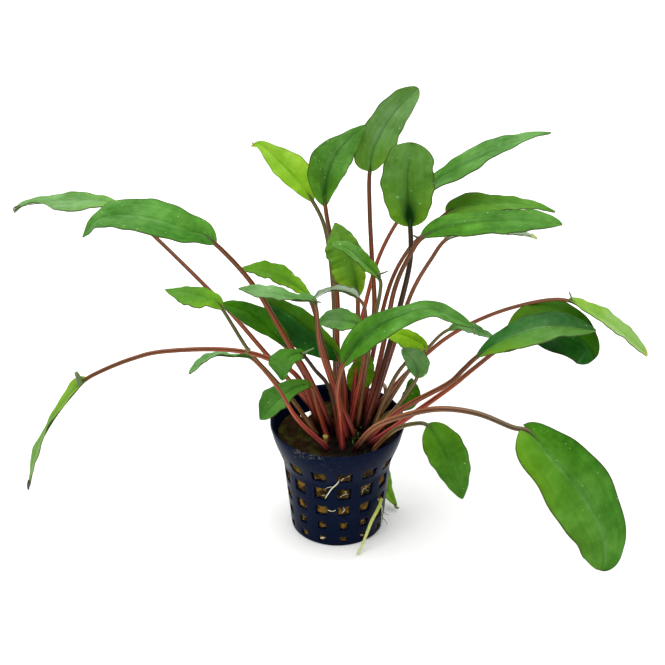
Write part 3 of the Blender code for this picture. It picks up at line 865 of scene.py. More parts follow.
         minus=(0.4, 1.1, 1.4, 1.2, 0.8), wave=(0.1, 2), look=(0.3, 0.45, 0, 0.1, -0.6)),
    Leaf("leaf_right_arching",
         [(14, 12), (20, 14, 52), (30, 19, 62), (45, 20, 77), (63, 20, 88), (83, 19, 95),
          (95, 18, 95)],
         [(108, 16, 88), (116, 14, 82), (126, 12, 73)],
         12, (0.6, 0, 0.75), tone="lime", taper=0.5, plus=(0.8, 1.5, 1.6, 1.6, 1.7),
         minus=(0.8, 1.1, 1.3, 1.5, 1.9), stem="rose", look=(0, 0, 1.3, 0.1, 0)),
    Leaf("leaf_right_grey",
         [(15, -2), (24, -3, 58), (30, -3, 68), (32, -3, 73)],
         [(31, -2, 78), (26, 0, 84)],
         12, (0, -0.85, 0.5), tone="pale", minus=(0.6, 0.6, 0.6, 0.6, 1), lobe=1, stem="straw",
         look=(0.4, 0, 0.6, 0, 0)),
    Leaf("leaf_right_small",
         [(15, 1), (20, 2, 51), (26, 2, 55)],
         [(29, 2, 61), (30, 3, 68)],
         10, (0, -0.8, 0.6), minus=(0.5, 0.5, 0.5, 0.5, 1), stem="olive", look=(0.4, 0.2, 0, 0, 0)),
    Leaf("leaf_front_big",
         [(7, -13), (15, -16, 57), (28, -19, 65), (41, -24, 71), (55, -29, 72), (68, -34, 69),
          (75, -36, 68)],
         [(82, -41, 61), (93, -49, 51), (102, -56, 38), (104.5, -60, 28), (104, -63, 21)],
         28, (0.1, -0.7, 0.6), belly=0.5, taper=0.5, plus=(1.7, 1.05, 1.1, 1.06, 1.4),
         minus=(1, 1.02, 0.92, 0.8, 0.85), lobe=4, wave=(0.15, 2), stem="tan",
         look=(-0.4, 0.4, 0.2, 0, 0.2)),
    Leaf("leaf_front_small",
         [(15, -12), (23, -15, 55), (31, -18, 60), (36, -21, 61)],
         [(40, -24, 56), (46, -28, 44), (50, -30, 32)],
         15, (0.2, -0.8, 0.5), belly=0.45, plus=(1.8, 1.2, 0.95, 0.9, 1),
         minus=(1.5, 1.25, 1.12, 1.05, 1), lobe=0.5, stem="olive", look=(0.2, 0.25, 0.15, 0.1, 0)),
    Leaf("leaf_pot_side",
         [(10, 16), (14, 17, 52), (18, 19, 54), (20, 23, 50), (20, 21, 36), (20, 17, 22)],
         [(20, 14, 12), (21, 11, 6), (25, 6, 2)],
         7, (0.5, -0.8, 0.2), tone="lime", minus=(0.5, 0.6, 0.8, 1, 1), stem="olive",
         look=(0.1, 0.2, 0.3, 0, 0)),
]
print("leaves:", len(LEAVES))

# %% [markdown]
# A plant has no straight lines. Each stalk is given by a few points, and a smooth curve is drawn
# through all of them, as a Bezier curve with automatic handles would be. To lay a sheet on it, one
# has to know the place and the direction at any distance along it, which walk() gives.

# %% Smooth lines
SPAN_STEPS = 10


def curve(before, start, end, after, t):
    """A point of the smooth curve from start to end, led by the points on both sides"""
    return 0.5 * (2 * start + (end - before) * t
                  + (2 * before - 5 * start + 4 * end - after) * t ** 2
                  + (3 * start - before - 3 * end + after) * t ** 3)


def smooth_line(points):
    """A dense curve that passes through every point"""
    ends = [2 * points[0] - points[1], *points, 2 * points[-1] - points[-2]]
    line = []
    for span in zip(ends, ends[1:], ends[2:], ends[3:]):
        line += [curve(*span, step / SPAN_STEPS) for step in range(SPAN_STEPS)]
    return [*line, points[-1]]


def travelled(line):
    """Distance from the line's start to each of its points"""
    reached = [0.0]
    for start, end in zip(line, line[1:]):
        reached.append(reached[-1] + (end - start).length)
    return reached


def walk(line, reached, distance):
    """The place at that distance along the line, and the way it runs there"""
    index = 1
    while distance > reached[index] and index < len(line) - 1:
        index += 1
    start, end = line[index - 1], line[index]
    share = (distance - reached[index - 1]) / (reached[index] - reached[index - 1])
    place = start.lerp(end, share)
    before = line[max(index - 2, 0)]
    after = line[min(index + 1, len(line) - 1)]
    way = (end - before).normalized().lerp((after - start).normalized(), share)
    return place, way.normalized()


def between(values, share):
    """A value on the smooth curve through evenly spaced ones"""
    spot = min(max(share, 0.0), 1.0) * (len(values) - 1)
    index = min(int(spot), len(values) - 2)
    t = spot - index
    start, end = values[index], values[index + 1]
    before = values[index - 1] if index else 2 * start - end
    after = values[index + 2] if index + 2 < len(values) else 2 * end - start
    return curve(before, start, end, after, t)


print("between 0, 1 and 0, a quarter of the way along:", between((0, 1, 0), 0.25))

# %% [markdown]
# The table's points are joined to the leaf's line, which starts where the stalk comes out of the
# wool. On a real blade the two halves are seldom alike, so each has its own list of widths, and
# the widths between them are found on a smooth curve.

# %% Leaf outline
FOOT_GAP = 0.9 * MM


def leaf_lines(leaf):
    """The leaf's whole line, its distances, and where the blade starts"""
    foot_x, foot_y = leaf.stalk[0][0] * MM, leaf.stalk[0][1] * MM
    foot = Vector((foot_x, foot_y, wool_height(foot_x, foot_y) + FOOT_GAP))
    line = smooth_line([foot, *(Vector(point) * MM for point in leaf.stalk[1:] + leaf.rib)])
    reached = travelled(line)
    return line, reached, reached[(len(leaf.stalk) - 1) * SPAN_STEPS]


def half_width(leaf, t, scales):
    """Half the blade's width: an oval, widest at its belly, scaled for its side"""
    power = math.log(0.5) / math.log(leaf.belly)
    oval = math.sin(math.pi * min(t, 1.0) ** power)
    return leaf.width * MM / 2 * max(oval, 0.0) ** leaf.taper * between(scales, t)


print("longest leaf in mm:", round(max(leaf_lines(leaf)[1][-1] for leaf in LEAVES) / MM))

# %% [markdown]
# The halves rise from the midrib like a book that lies half open. The margin waves, a groove runs
# over the midrib, and the side veins show as faint furrows. A broad base reaches back past the
# collar in two lobes.

# %% Leaf surface
COLLAR_RADIUS = 0.8 * MM
TIP_HALF_WIDTH = 0.25 * MM
GROOVE_WIDTH = 0.7 * MM
GROOVE_DEPTH = 0.3 * MM
VEIN_DEPTH = 0.025 * MM
VEINS_A_SIDE = 3
UNEVEN = 0.35 * MM
UNEVEN_SIZE = 9 * MM
LOBE_SHARE = 0.3
# How far the waves of one edge run ahead of the other's, in radians
WAVE_LEAD = 1.3


def ridge(away, width):
    """1 on a line, and softly down to 0 beyond that width on both sides of it"""
    return math.exp(-(away / width) ** 2)


def blade_up(leaf, way):
    """The way that the blade's upper side looks, square to its line"""
    up = Vector(leaf.faces)
    return (up - way * up.dot(way)).normalized()


def blade_point(leaf, line, reached, collar, t, s):
    """A point of the blade's upper skin, from the collar to the tip and from edge to edge"""
    place, way = walk(line, reached, collar + (reached[-1] - collar) * t)
    up = blade_up(leaf, way)
    side = way.cross(up)
    off = abs(s)
    half = half_width(leaf, t, leaf.plus if s > 0 else leaf.minus)
    half = max(half, COLLAR_RADIUS * 0.8 if t < 0.5 else TIP_HALF_WIDTH)
    height, count = leaf.wave
    # the waves start elsewhere on each leaf
    phase = sum(leaf.rib[-1]) % 7
    turn = 2 * math.pi * count * t + phase + (WAVE_LEAD if s > 0 else 0)
    fold = math.radians(leaf.fold)
    # each half rises from the midrib, and less so towards its margin
    rise = half * (math.sin(fold) * off * (1.25 - 0.45 * off))
    # two waves of unlike length swing the margin, and both fade at the collar and the tip
    swing = math.sin(turn) + 0.5 * math.sin(2.3 * turn + phase)
    rise += height * MM * off ** 1.5 * swing * min(1, 6 * t) * min(1, 4 * (1 - t))
    # the groove over the midrib gets shallower on the way to the tip
    rise -= GROOVE_DEPTH * ridge(half * s, GROOVE_WIDTH) * (1 - 0.6 * t)
    rise -= VEIN_DEPTH * math.cos(2 * math.pi * VEINS_A_SIDE * off)
    reach = half * s * math.cos(fold) * (1 + 0.025 * math.sin(1.7 * turn))
    back = leaf.lobe * MM * off ** 1.5 * max(0.0, 1 - t / LOBE_SHARE) ** 2
    spot = place + side * reach + up * rise - way * back
    return spot + up * (UNEVEN * off * noise.noise(spot / UNEVEN_SIZE))


print("highest waves in mm:", max(leaf.wave[0] for leaf in LEAVES))

# %% [markdown]
# A blade is drawn as a grid, painted while it is still flat, laid on its line and then given its
# thickness. The paint tells the material where the throat, the fresh flesh and the painted sheen
# are, and which side is painted lit and which in shade, as one could brush them on by hand in
# vertex paint mode.

# %% Leaf blade
BLADE_THICKNESS = 0.35 * MM
BLADE_WELD = 0.03 * MM
BLADE_ALONG = 60
BLADE_ACROSS = 28
# Shares of the blade's half width, and of its length for the throat. The last two place the
# stripe of painted sheen beside the midrib.
THROAT_WIDTH, THROAT_LENGTH = 0.38, 0.6
MIDRIB_WIDTH = 0.07
SHEEN_STRIPE_PLACE, SHEEN_STRIPE_WIDTH = -0.2, 0.12


def spread(along):
    """Makes the grid's steps shorter near the collar and the tip, where the outline turns"""
    return 0.45 * (0.5 - 0.5 * math.cos(math.pi * along)) + 0.55 * along


def paint_growth(blade, leaf):
    """Gives every point its throat, freshness and painted sheen, as the red, green and blue of a colour
    """
    throat, fresh, painted_sheen, depth, lit_side = leaf.look
    layer = blade.data.color_attributes.new("growth", "FLOAT_COLOR", "POINT")
    for point, item in zip(blade.data.vertices, layer.data):
        t, s = spread(point.co.x + 0.5), 2 * point.co.y
        off = abs(s)
        midrib = ridge(off, MIDRIB_WIDTH)
        # painted light and shade: on some blades one side of the midrib is painted lit and fresh, the
        # other darker
        lit_share = smooth_step(0.5 + 2.5 * lit_side * s) if lit_side else 1
        # dark green: the throat, the midrib after it, the whole of a deep leaf, and the side in painted
        # shade
        wide = ridge(off, THROAT_WIDTH) * (1 - smooth_step(t / THROAT_LENGTH))
        deep = max(throat * max(wide, 0.7 * midrib * (1 - t)), depth,
                   0.3 * abs(lit_side) * (1 - lit_share))
        # fresh flesh is near the collar and the margins, and where one side is painted lit, only on
        # that side
        young = (0.35 + 0.65 * off) * (1 - smooth_step((t - 0.2) / 0.6))
        young = fresh * max(young, 0.4) * lit_share
        # painted sheen: a greyish reflection painted stronger away from the collar and in a stripe
        # beside the midrib, and a midrib paled by a throat below 0 is painted sheen too
        waxy = 0.3 + 0.7 * smooth_step((t - 0.1) / 0.55)
        midrib_sheen = 0.5 * ridge(s - SHEEN_STRIPE_PLACE, SHEEN_STRIPE_WIDTH) * math.sin(math.pi * t)
        pale = max(-throat, 0) * midrib
        item.color = (deep, young, min(1, painted_sheen * (waxy + midrib_sheen) + pale), 1)


def make_blade(leaf, line, reached, collar):
    """The blade, painted, laid on its line and given its thickness"""
    blade = add_sheet(leaf.name + "_blade", BLADE_ALONG, BLADE_ACROSS)
    paint_growth(blade, leaf)
    place_points(blade, lambda along, across: blade_point(leaf, line, reached, collar,
                                                          spread(along), 2 * across - 1))
    weld(blade, BLADE_WELD)
    apply_modifier(blade, "SOLIDIFY", thickness=BLADE_THICKNESS, offset=-1, material_offset=1)
    return blade


print("faces on each side of a blade:", BLADE_ALONG * BLADE_ACROSS)

# %% [markdown]
# A sheet rolled to a tube needs rings along it, each with its middle, two ways across and a
# radius. So a stalk can bend and swell anywhere, and a root or a hook is made in the same way.

# %% Rolled tubes
TUBE_WELD = 0.001 * MM


def roll(tube, rings):
    """Rolls a sheet to a closed tube. Each ring has its middle, two ways across and a radius"""
    def where(share, turn):
        place, first, second, radius = rings[round(share * (len(rings) - 1))]
        angle = 2 * math.pi * turn
        return place + first * (math.cos(angle) * radius) + second * (math.sin(angle) * radius)

    place_points(tube, where)
    weld(tube, TUBE_WELD)
    close_ends(tube)
    return tube


def rolled_tube(name, points, radius_at, around, every):
    """A closed tube along points in mm, with its radius given by the share of its length"""
    line = smooth_line([Vector(point) * MM for point in points])
    reached = travelled(line)
    steps = max(8, round(reached[-1] / every))
    side = walk(line, reached, 0)[1].orthogonal()
    rings = []
    for step in range(steps + 1):
        share = step / steps
        place, way = walk(line, reached, reached[-1] * share)
        side = (side - way * side.dot(way)).normalized()
        rings.append((place, side, way.cross(side), radius_at(share)))
    return roll(add_sheet(name, steps, around), rings)


print("points of a tube closer than", TUBE_WELD / MM, "mm are welded")

# %% [markdown]
# The stalk widens to a sheath at its foot, and past the collar it runs on under the blade and
# thins out as the midrib. It is painted too, from 0 in the wool to 1 at the collar, because its
# colour follows its growth. A broad blade needs a thick stalk to hold it.

# %% Leaf stalk
FOOT_DEPTH = 5 * MM
SHEATH_RADIUS = 1.5 * MM
SHEATH_SHARE = 0.25
STALK_RADIUS = 1.1 * MM
RIB_END_RADIUS = 0.12 * MM
STALK_STEP = 1.5 * MM
STALK_SIDES = 12
USUAL_WIDTH = 14
THINNEST, THICKEST = 0.85, 1.3


def thickness(leaf):
    """How many times as thick as usual the leaf's stalk is"""
    return min(max(math.sqrt(leaf.width / USUAL_WIDTH), THINNEST), THICKEST)


def stalk_radius(grown, thick):
    """The stalk's radius by how far it has grown, from 0 at its foot to 1 at the collar"""
    radius = COLLAR_RADIUS + (STALK_RADIUS - COLLAR_RADIUS) * (1 - grown)
    radius += (SHEATH_RADIUS - STALK_RADIUS) * max(0, 1 - grown / SHEATH_SHARE) ** 1.5
    return radius * (1 + (thick - 1) * min(1, 2 * grown))


def paint_stalk(tube, start):
    """Paints how far the stalk has grown, up to the collar at that share of its length"""
    layer = tube.data.color_attributes.new("growth", "FLOAT_COLOR", "POINT")
    for point, item in zip(tube.data.vertices, layer.data):
        grown = min(1, (point.co.x + 0.5) / start)
        item.color = (grown, grown, grown, 1)


def make_stalk(leaf, line, reached, collar):
    """The stalk from inside the wool to the collar, and on as the midrib under the blade"""
    thick = thickness(leaf)
    foot = line[0] - Vector((0, 0, FOOT_DEPTH))
    whole = FOOT_DEPTH + reached[-1]
    start = (FOOT_DEPTH + collar) / whole
    steps = round(whole / STALK_STEP)
    tube = add_sheet(leaf.name + "_stalk", steps, STALK_SIDES)
    paint_stalk(tube, start)
    rings = []
    side = Vector((1, 0, 0))
    for step in range(steps + 1):
        share = step / steps
        distance = share * whole - FOOT_DEPTH
        if distance < 0:
            place, way = foot.lerp(line[0], 1 + distance / FOOT_DEPTH), Vector((0, 0, 1))
        else:
            place, way = walk(line, reached, distance)
        side = (side - way * side.dot(way)).normalized()
        if share < start:
            radius = stalk_radius(share / start, thick)
        else:
            t = (share - start) / (1 - start)
            radius = COLLAR_RADIUS * thick + (RIB_END_RADIUS - COLLAR_RADIUS * thick) * t ** 0.7
            # the midrib's back stands out under the blade, and its top hides in the groove
            place = place - blade_up(leaf, way) * ((radius * 0.9 + GROOVE_DEPTH) * min(1, 8 * t))
        rings.append((place, side, way.cross(side), radius))
    return roll(tube, rings)


print("thickest stalk:", max(thickness(leaf) for leaf in LEAVES), "times the usual")

# %% [markdown]
# A leaf's upper skin is waxy: green flesh under a clear, satin film. The green is never even. It
# darkens along the midrib near the base, is fresher and yellower between the veins, and ends in
# a hair-thin purple-brown margin. The underside is paler and duller. A little light enters the
# blade and comes out again, which subsurface scattering gives.

# %% Leaf tones and patterns
TONES = {
    # dark, middle and light flesh, and the underside
    "green": ("#1d5006", "#366f0e", "#528e20", "#7d9c62"),
    "bright": ("#215a05", "#397809", "#549412", "#8aa65e"),
    "dark": ("#0c3a08", "#18560e", "#2b701e", "#5f8452"),
    "lime": ("#5a8e10", "#79a61a", "#97b82e", "#a9bd70"),
    "silver": ("#96a88c", "#b0bea6", "#c8d2c0", "#d0d8c8"),
    "pale": ("#366824", "#4f7e36", "#6e9a50", "#98b283"),
}
THROAT_COLOUR = "#082c04"
FRESH_COLOUR = "#70980c"
# the colour of the painted sheen on the leaves
SHEEN_PAINT_COLOUR = "#84a47c"
MARGIN_COLOUR = "#33301a"
DRY_TIP_COLOUR = "#c49a34"
LIME_COLOUR = "#c3d0ac"
# How much the streaks and the rungs each count beside the patches
FINE_SHARE = 0.35


def drawn_noise(tree, stretch, detail):
    """Noise drawn out along or across a sheet, shifted by place so that no two leaves match"""
    run = add(tree, "ShaderNodeMapping", {"Vector": add(tree, "ShaderNodeUVMap"), "Scale": stretch})
    place = add(tree, "ShaderNodeTexCoord").outputs["Object"]
    shift = add(tree, "ShaderNodeVectorMath", {0: place, "Scale": 18}, operation="SCALE")
    both = add(tree, "ShaderNodeVectorMath", {0: run, 1: shift}, operation="ADD")
    return add(tree, "ShaderNodeTexNoise", {"Vector": both, "Scale": 1.0, "Detail": detail})


def leaf_grain(tree, patch):
    """Adds streaks along the blade and fine rungs across it to the patches"""
    grain = patch
    for pattern in (drawn_noise(tree, (2.5, 13, 1), 4), drawn_noise(tree, (26, 8, 1), 2)):
        grain = add(tree, "ShaderNodeMath", {0: pattern, 1: FINE_SHARE, 2: grain},
                    operation="MULTIPLY_ADD")
    return add(tree, "ShaderNodeMath", {0: grain, 1: 1 + 2 * FINE_SHARE}, operation="DIVIDE")


def from_midrib(tree, run):
    """How far a place is from the midrib, 0 to 1, from the sheet's own UV map"""
    off = add(tree, "ShaderNodeMath", {0: run.outputs["Y"], 1: 2, 2: -1}, operation="MULTIPLY_ADD")
    return add(tree, "ShaderNodeMath", {0: off}, operation="ABSOLUTE")


def side_veins(tree, off):
    """Veins that run beside the midrib and meet at the tip"""
    veins = add(tree, "ShaderNodeMath", {0: off, 1: VEINS_A_SIDE}, operation="MULTIPLY")
    veins = add(tree, "ShaderNodeMath", {0: veins, 1: 0.5}, operation="PINGPONG")
    return add(tree, "ShaderNodeMapRange", {"Value": veins, "From Min": 0.07, "From Max": 0,
                                            "To Max": 0.15})


print("tones:", len(TONES), "with", len(TONES["green"]), "colours each")

# %% Leaf skin
def leaf_skin(tone, under):
    """The skin of one side of a blade, in one of the tones"""
    dark, middle, light, pale = TONES[tone]
    made, tree, shader = new_material(("under side " if under else "waxy leaf ") + tone)
    if under:
        dark, middle, light = middle, pale, pale
    painted = add(tree, "ShaderNodeVertexColor", layer_name="growth")
    throat, fresh, painted_sheen = add(tree, "ShaderNodeSeparateColor", {"Color": painted}).outputs
    # patches of fresher flesh some 10 mm across
    patch = object_noise(tree, 90, 4)
    grain = leaf_grain(tree, patch)
    flesh = add(tree, "ShaderNodeValToRGB", {"Fac": grain},
                [(0.31, dark), (0.5, middle), (0.71, light)])
    # painted sheen: a greyish reflection painted over the flesh, thicker in patches
    sheen_patches = add(tree, "ShaderNodeMapRange", {"Value": grain, "From Min": 0.4, "From Max": 0.6,
                                             "To Min": 0.15, "To Max": 0.5})
    painted_sheen = add(tree, "ShaderNodeMath", {0: painted_sheen, 1: sheen_patches}, operation="MULTIPLY")
    run = add(tree, "ShaderNodeSeparateXYZ", {"Vector": add(tree, "ShaderNodeUVMap")})
    off = from_midrib(tree, run)
    veins = side_veins(tree, off)
    # the margin, a third of a millimetre wide
    margin = add(tree, "ShaderNodeMapRange", {"Value": off, "From Min": 0.93, "From Max": 0.985,
                                              "To Max": 0.75})
    # the outer tip of a blade is often brown and dry, and ochre on the yellowed leaves
    yellowed = tone == "lime"
    tip = add(tree, "ShaderNodeMapRange", {"Value": run.outputs["X"], "To Max": 0.7,
                                           "From Min": 0.9 if yellowed else 0.965})
    # specks of lime from the water, half a millimetre across and far apart
    specks = add(tree, "ShaderNodeMapRange", {"Value": object_noise(tree, 900, 1), "From Min": 0.76,
                                              "From Max": 0.8, "To Max": 0.6})
    tint = paint_over(tree, flesh, (fresh, FRESH_COLOUR), (painted_sheen, SHEEN_PAINT_COLOUR),
                      (throat, THROAT_COLOUR), (veins, dark), (margin, MARGIN_COLOUR),
                      (tip, DRY_TIP_COLOUR if yellowed else MARGIN_COLOUR), (specks, LIME_COLOUR))
    # a grain of fine cross veins, about half a millimetre
    bump = add(tree, "ShaderNodeBump", {"Height": object_noise(tree, 1500, 3), "Strength": 0.15,
                                        "Distance": 0.2 * MM})
    ribs = add(tree, "ShaderNodeBump", {"Height": veins, "Normal": bump, "Strength": 0.25,
                                        "Distance": 0.2 * MM})
    rough = add(tree, "ShaderNodeMapRange", {"Value": patch, "To Min": 0.5 if under else 0.32,
                                             "To Max": 0.65 if under else 0.5})
    feed(tree, shader, {"Base Color": tint, "Normal": ribs, "Roughness": rough, "IOR": 1.42,
                        "Specular IOR Level": 0.06, "Subsurface Weight": 0.12,
                        "Subsurface Radius": (0.6, 1.0, 0.2), "Subsurface Scale": 1 * MM})
    return made


upper_skins = {tone: leaf_skin(tone, False) for tone in TONES}
under_skins = {tone: leaf_skin(tone, True) for tone in TONES}
print("leaf skins:", ", ".join(TONES))

# %% [markdown]
# The stalks are fleshy and smooth, with a moist shine. Most are wine red in the sheath, darkened
# there by painted shade among the crowded stalks, red-brown on the way up and green where they
# meet the blade. Fine lengthwise streaks, some 0.4 mm apart, follow the fibres inside, and four
# bands of painted shade run between lighter ones. The UV map's first coordinate runs from the
# foot to the tip.

# %% Stalk skin
STEMS = {
    # in the sheath, wine red darkened by painted shade among the crowded stalks, low down,
    # half way, near the collar and under the blade
    "red": ("#300a14", "#cc5250", "#c45a38", "#9a5a36", "#4c6a20"),
    "brown": ("#320c12", "#cc6450", "#9e5630", "#7e4c2a", "#46601e"),
    "dark": ("#240a0c", "#8c4432", "#58381c", "#42321a", "#1c3a0c"),
    "olive": ("#30140e", "#b47a4e", "#8e7442", "#707040", "#587a2c"),
    "tan": ("#341212", "#b87a56", "#885230", "#746040", "#56782a"),
    "rose": ("#341014", "#cc705c", "#aa6042", "#9c6444", "#6a8438"),
    "straw": ("#401c14", "#c8986c", "#b08c60", "#968654", "#6a8430"),
}
# darkens the fibre streaks, and the bands of painted shade between the lighter ones
STREAK_AND_SHADE_COLOUR = "#44221c"
FLECK_COLOUR = "#a8805a"


def stalk_skin(stem):
    foot, low, middle, upper, rib = STEMS[stem]
    made, tree, shader = new_material("fleshy stalk " + stem)
    # the painted growth runs from 0 in the wool to 1 at the collar
    growth = add(tree, "ShaderNodeVertexColor", layer_name="growth")
    # the foot colour, painted shade over the sheath's wine red, holds until just above the wool
    run = add(tree, "ShaderNodeValToRGB", {"Fac": growth},
              [(0.075, foot), (0.16, low), (0.5, middle), (0.85, upper), (0.985, upper), (1, rib)])
    # painted light and shade: four lighter bands and four darker ones run up the stalk, in place of
    # the light and shade on its round sides
    spot = add(tree, "ShaderNodeUVMap")
    turn = add(tree, "ShaderNodeSeparateXYZ", {"Vector": spot}).outputs["Y"]
    ribs = add(tree, "ShaderNodeMath", {0: turn, 1: 8 * math.pi}, operation="MULTIPLY")
    ribs = add(tree, "ShaderNodeMath", {0: ribs}, operation="COSINE")
    painted_side_shade = add(tree, "ShaderNodeMapRange", {"Value": ribs, "From Min": 0.7, "From Max": -0.8,
                                               "To Max": 0.75})
    fibres = add(tree, "ShaderNodeMapping", {"Vector": spot, "Scale": (5, 14, 1)})
    fibres = add(tree, "ShaderNodeTexNoise", {"Vector": fibres, "Scale": 1.0, "Detail": 4})
    streaks = add(tree, "ShaderNodeMapRange", {"Value": fibres, "From Min": 0.35, "From Max": 0.7,
                                               "To Max": 0.7})
    # the fibre streaks together with the painted shade round the stalk
    streaks_and_shade = add(tree, "ShaderNodeMath", {0: painted_side_shade, 1: streaks}, operation="MAXIMUM")
    tint = add(tree, "ShaderNodeMix", {"Factor": streaks_and_shade, "A": run, "B": STREAK_AND_SHADE_COLOUR},
               data_type="RGBA", blend_type="MULTIPLY")
    # paler flecks where the skin is scarred, about a millimetre long
    flecks = add(tree, "ShaderNodeMapRange", {"Value": object_noise(tree, 700, 2), "From Min": 0.66,
                                              "From Max": 0.74, "To Max": 0.35})
    bump = add(tree, "ShaderNodeBump", {"Height": fibres, "Strength": 0.2, "Distance": 0.2 * MM})
    feed(tree, shader, {"Base Color": paint_over(tree, tint, (flecks, FLECK_COLOUR)),
                        "Normal": bump, "Roughness": 0.33, "IOR": 1.4, "Specular IOR Level": 0.3})
    return made


stalk_skins = {stem: stalk_skin(stem) for stem in STEMS}
print("stalk skins:", ", ".join(STEMS))

# %% [markdown]
# Some leaves end in a hook or have a curled ear at the collar, dried and dull. They are short
# tubes joined to the leaf. Then every leaf is grown from its row of the table: blade and stalk
# become one piece, which rides on the plant and replaces its CAD node.

# %% Grow the leaves
# Hooks and ears at the ends of some leaves: the leaf, the radius, the colour and the line, in mm.
TAILS = [
    ("leaf_left_far", 0.5, "#5c5a3a", [(-132.5, 64, 114.2), (-134.4, 64, 113.6), (-135.3, 64, 112)]),
    ("leaf_left_drooping", 1.5, "#56683a", [(-102.3, -10, 73.6), (-103, -10, 76.6), (-103.8, -10, 79)]),
    ("leaf_left_drooping", 0.8, "#201c12", [(-125.6, -12, 28), (-126.2, -12, 26), (-126.4, -12, 23.6)]),
    ("leaf_left_low", 0.5, "#4e5a34", [(-35.8, -18.5, 93.4), (-34.6, -18.5, 94.6), (-34, -18.5, 95.7)]),
    ("leaf_left_pale", 0.5, "#52523c", [(-10, -5, 109.6), (-8.1, -5, 108.8), (-6.5, -5, 108.4)]),
    ("leaf_left_nodding", 0.5, "#5c7444", [(-14.2, -9, 87), (-11.3, -9, 88.7), (-9.3, -9, 89.8)]),
    ("leaf_top_yellow", 0.5, "#6c8a38", [(-33.5, 56, 146.2), (-34.2, 56, 147), (-34.7, 56, 147.7)]),
    ("leaf_middle_twisted", 0.5, "#52523c", [(15.6, 8.5, 113.2), (18, 8, 114.2), (19.9, 8, 115.1)]),
    ("leaf_right_long", 0.7, "#4a4a40", [(34.4, 19, 124.6), (31.8, 19, 124.2), (30.2, 19, 125.1)]),
    ("leaf_right_arching", 0.5, "#6f8a5c", [(95, 18, 95), (94.2, 18, 97.5), (93.3, 18, 99.8)]),
    ("leaf_right_yellow", 0.5, "#8a8a4c", [(33.6, 9, 79.4), (34.4, 8.5, 79.4), (35.4, 8.5, 78.6)]),
    ("leaf_middle_broad", 0.4, "#5c7444", [(53.6, -2.2, 95.2), (54.5, -3, 93.8), (54.3, -3, 92.2)]),
    ("leaf_right_hidden", 1.1, "#b4c480", [(79.2, 42, 112.4), (80.6, 42, 111.6), (81.6, 42, 110.8)]),
    ("leaf_pot_side", 0.6, "#4e5430", [(24.2, 6.6, 2.8), (24.8, 6, 1.4), (26, 6, 1.3)]),
]
SLOTS = {"green": "leaf_green", "bright": "leaf_bright", "dark": "leaf_dark", "lime": "leaf_lime",
         "pale": "leaf_pale", "silver": "leaf_pale"}


def plain_skin(name, hex_value, rough):
    """A material of one even colour, for small dried pieces"""
    made, tree, shader = new_material(name)
    feed(tree, shader, {"Base Color": hex_value, "Roughness": rough})
    return made


def make_tail(name, radius, hex_value, points):
    """A tapering hook. points and radius are in mm"""
    tail = rolled_tube(name + "_tail", points, lambda share: radius * (1 - 0.45 * share) * MM,
                       around=8, every=0.5 * MM)
    tail.data.materials.append(plain_skin("dried end of " + name, hex_value, 0.6))
    return tail


def grow_leaf(leaf):
    """Grows one row of the table into a finished piece"""
    line, reached, collar = leaf_lines(leaf)
    blade = make_blade(leaf, line, reached, collar)
    blade.data.materials.append(upper_skins[leaf.tone])
    blade.data.materials.append(under_skins[leaf.tone])
    stalk = make_stalk(leaf, line, reached, collar)
    stalk.data.materials.append(stalk_skins[leaf.stem])
    tails = [make_tail(*tail) for tail in TAILS if tail[0] == leaf.name]
    whole = join([blade, stalk, *tails])
    whole.name = leaf.name + "_grown"
    whole.data.name = whole.name
    shade(whole, sharp_from=50)
    settle(whole, SLOTS[leaf.tone], leaf.name)


for leaf in LEAVES:
    grow_leaf(leaf)

# %% [markdown]
# ## The roots
# One runner has found its way out of a window and down to the floor, yellow-green where light
# reached it. A few thin white roots and hairs show at the windows. They are tubes on smooth
# lines, which a bevelled curve would give as well, but a rolled sheet is closed at its ends.

# %% Roots
RUNNER_LINE = [(18, -12, 19), (17, -15, 17), (14, -18, 12), (12, -20, 7), (10, -23, 3), (8, -26, 1)]


def root_skin(name, hex_value, end_hex):
    made, tree, shader = new_material(name)
    run = add(tree, "ShaderNodeSeparateXYZ", {"Vector": add(tree, "ShaderNodeUVMap")})
    length = add(tree, "ShaderNodeValToRGB", {"Fac": run.outputs["X"]},
                 [(0.1, hex_value), (0.95, end_hex)])
    # green specks about a millimetre across
    specks = add(tree, "ShaderNodeMapRange", {"Value": object_noise(tree, 900, 3), "From Min": 0.5,
                                              "From Max": 0.75, "To Max": 0.6})
    feed(tree, shader, {"Base Color": paint_over(tree, length, (specks, "#8a9a3a")),
                        "Roughness": 0.45, "Subsurface Weight": 0.2, "Subsurface Scale": 1 * MM})
    return made


def make_root(name, points, thick, end_thick, skin):
    """A root along points in mm, with its radius in mm at its start and at its end"""
    root = rolled_tube(name, points, lambda share: (thick + (end_thick - thick) * share ** 2) * MM,
                       around=10, every=0.8 * MM)
    root.data.materials.append(skin)
    shade(root)
    return root


runner_skin = root_skin("runner skin", "#a9b648", "#c9c98a")
white_skin = root_skin("white root skin", "#dcd8b8", "#e8e6d2")
runner = make_root("runner_root_live", RUNNER_LINE, 0.75, 0.45, runner_skin)
settle(runner, "root", "runner_root")

# %% [markdown]
# The small roots grow out of the plug, so they belong to it: white ones lie on the pot's front,
# hairs hang over its rim, and a cut stub stands on the wool among scraps of leaf.

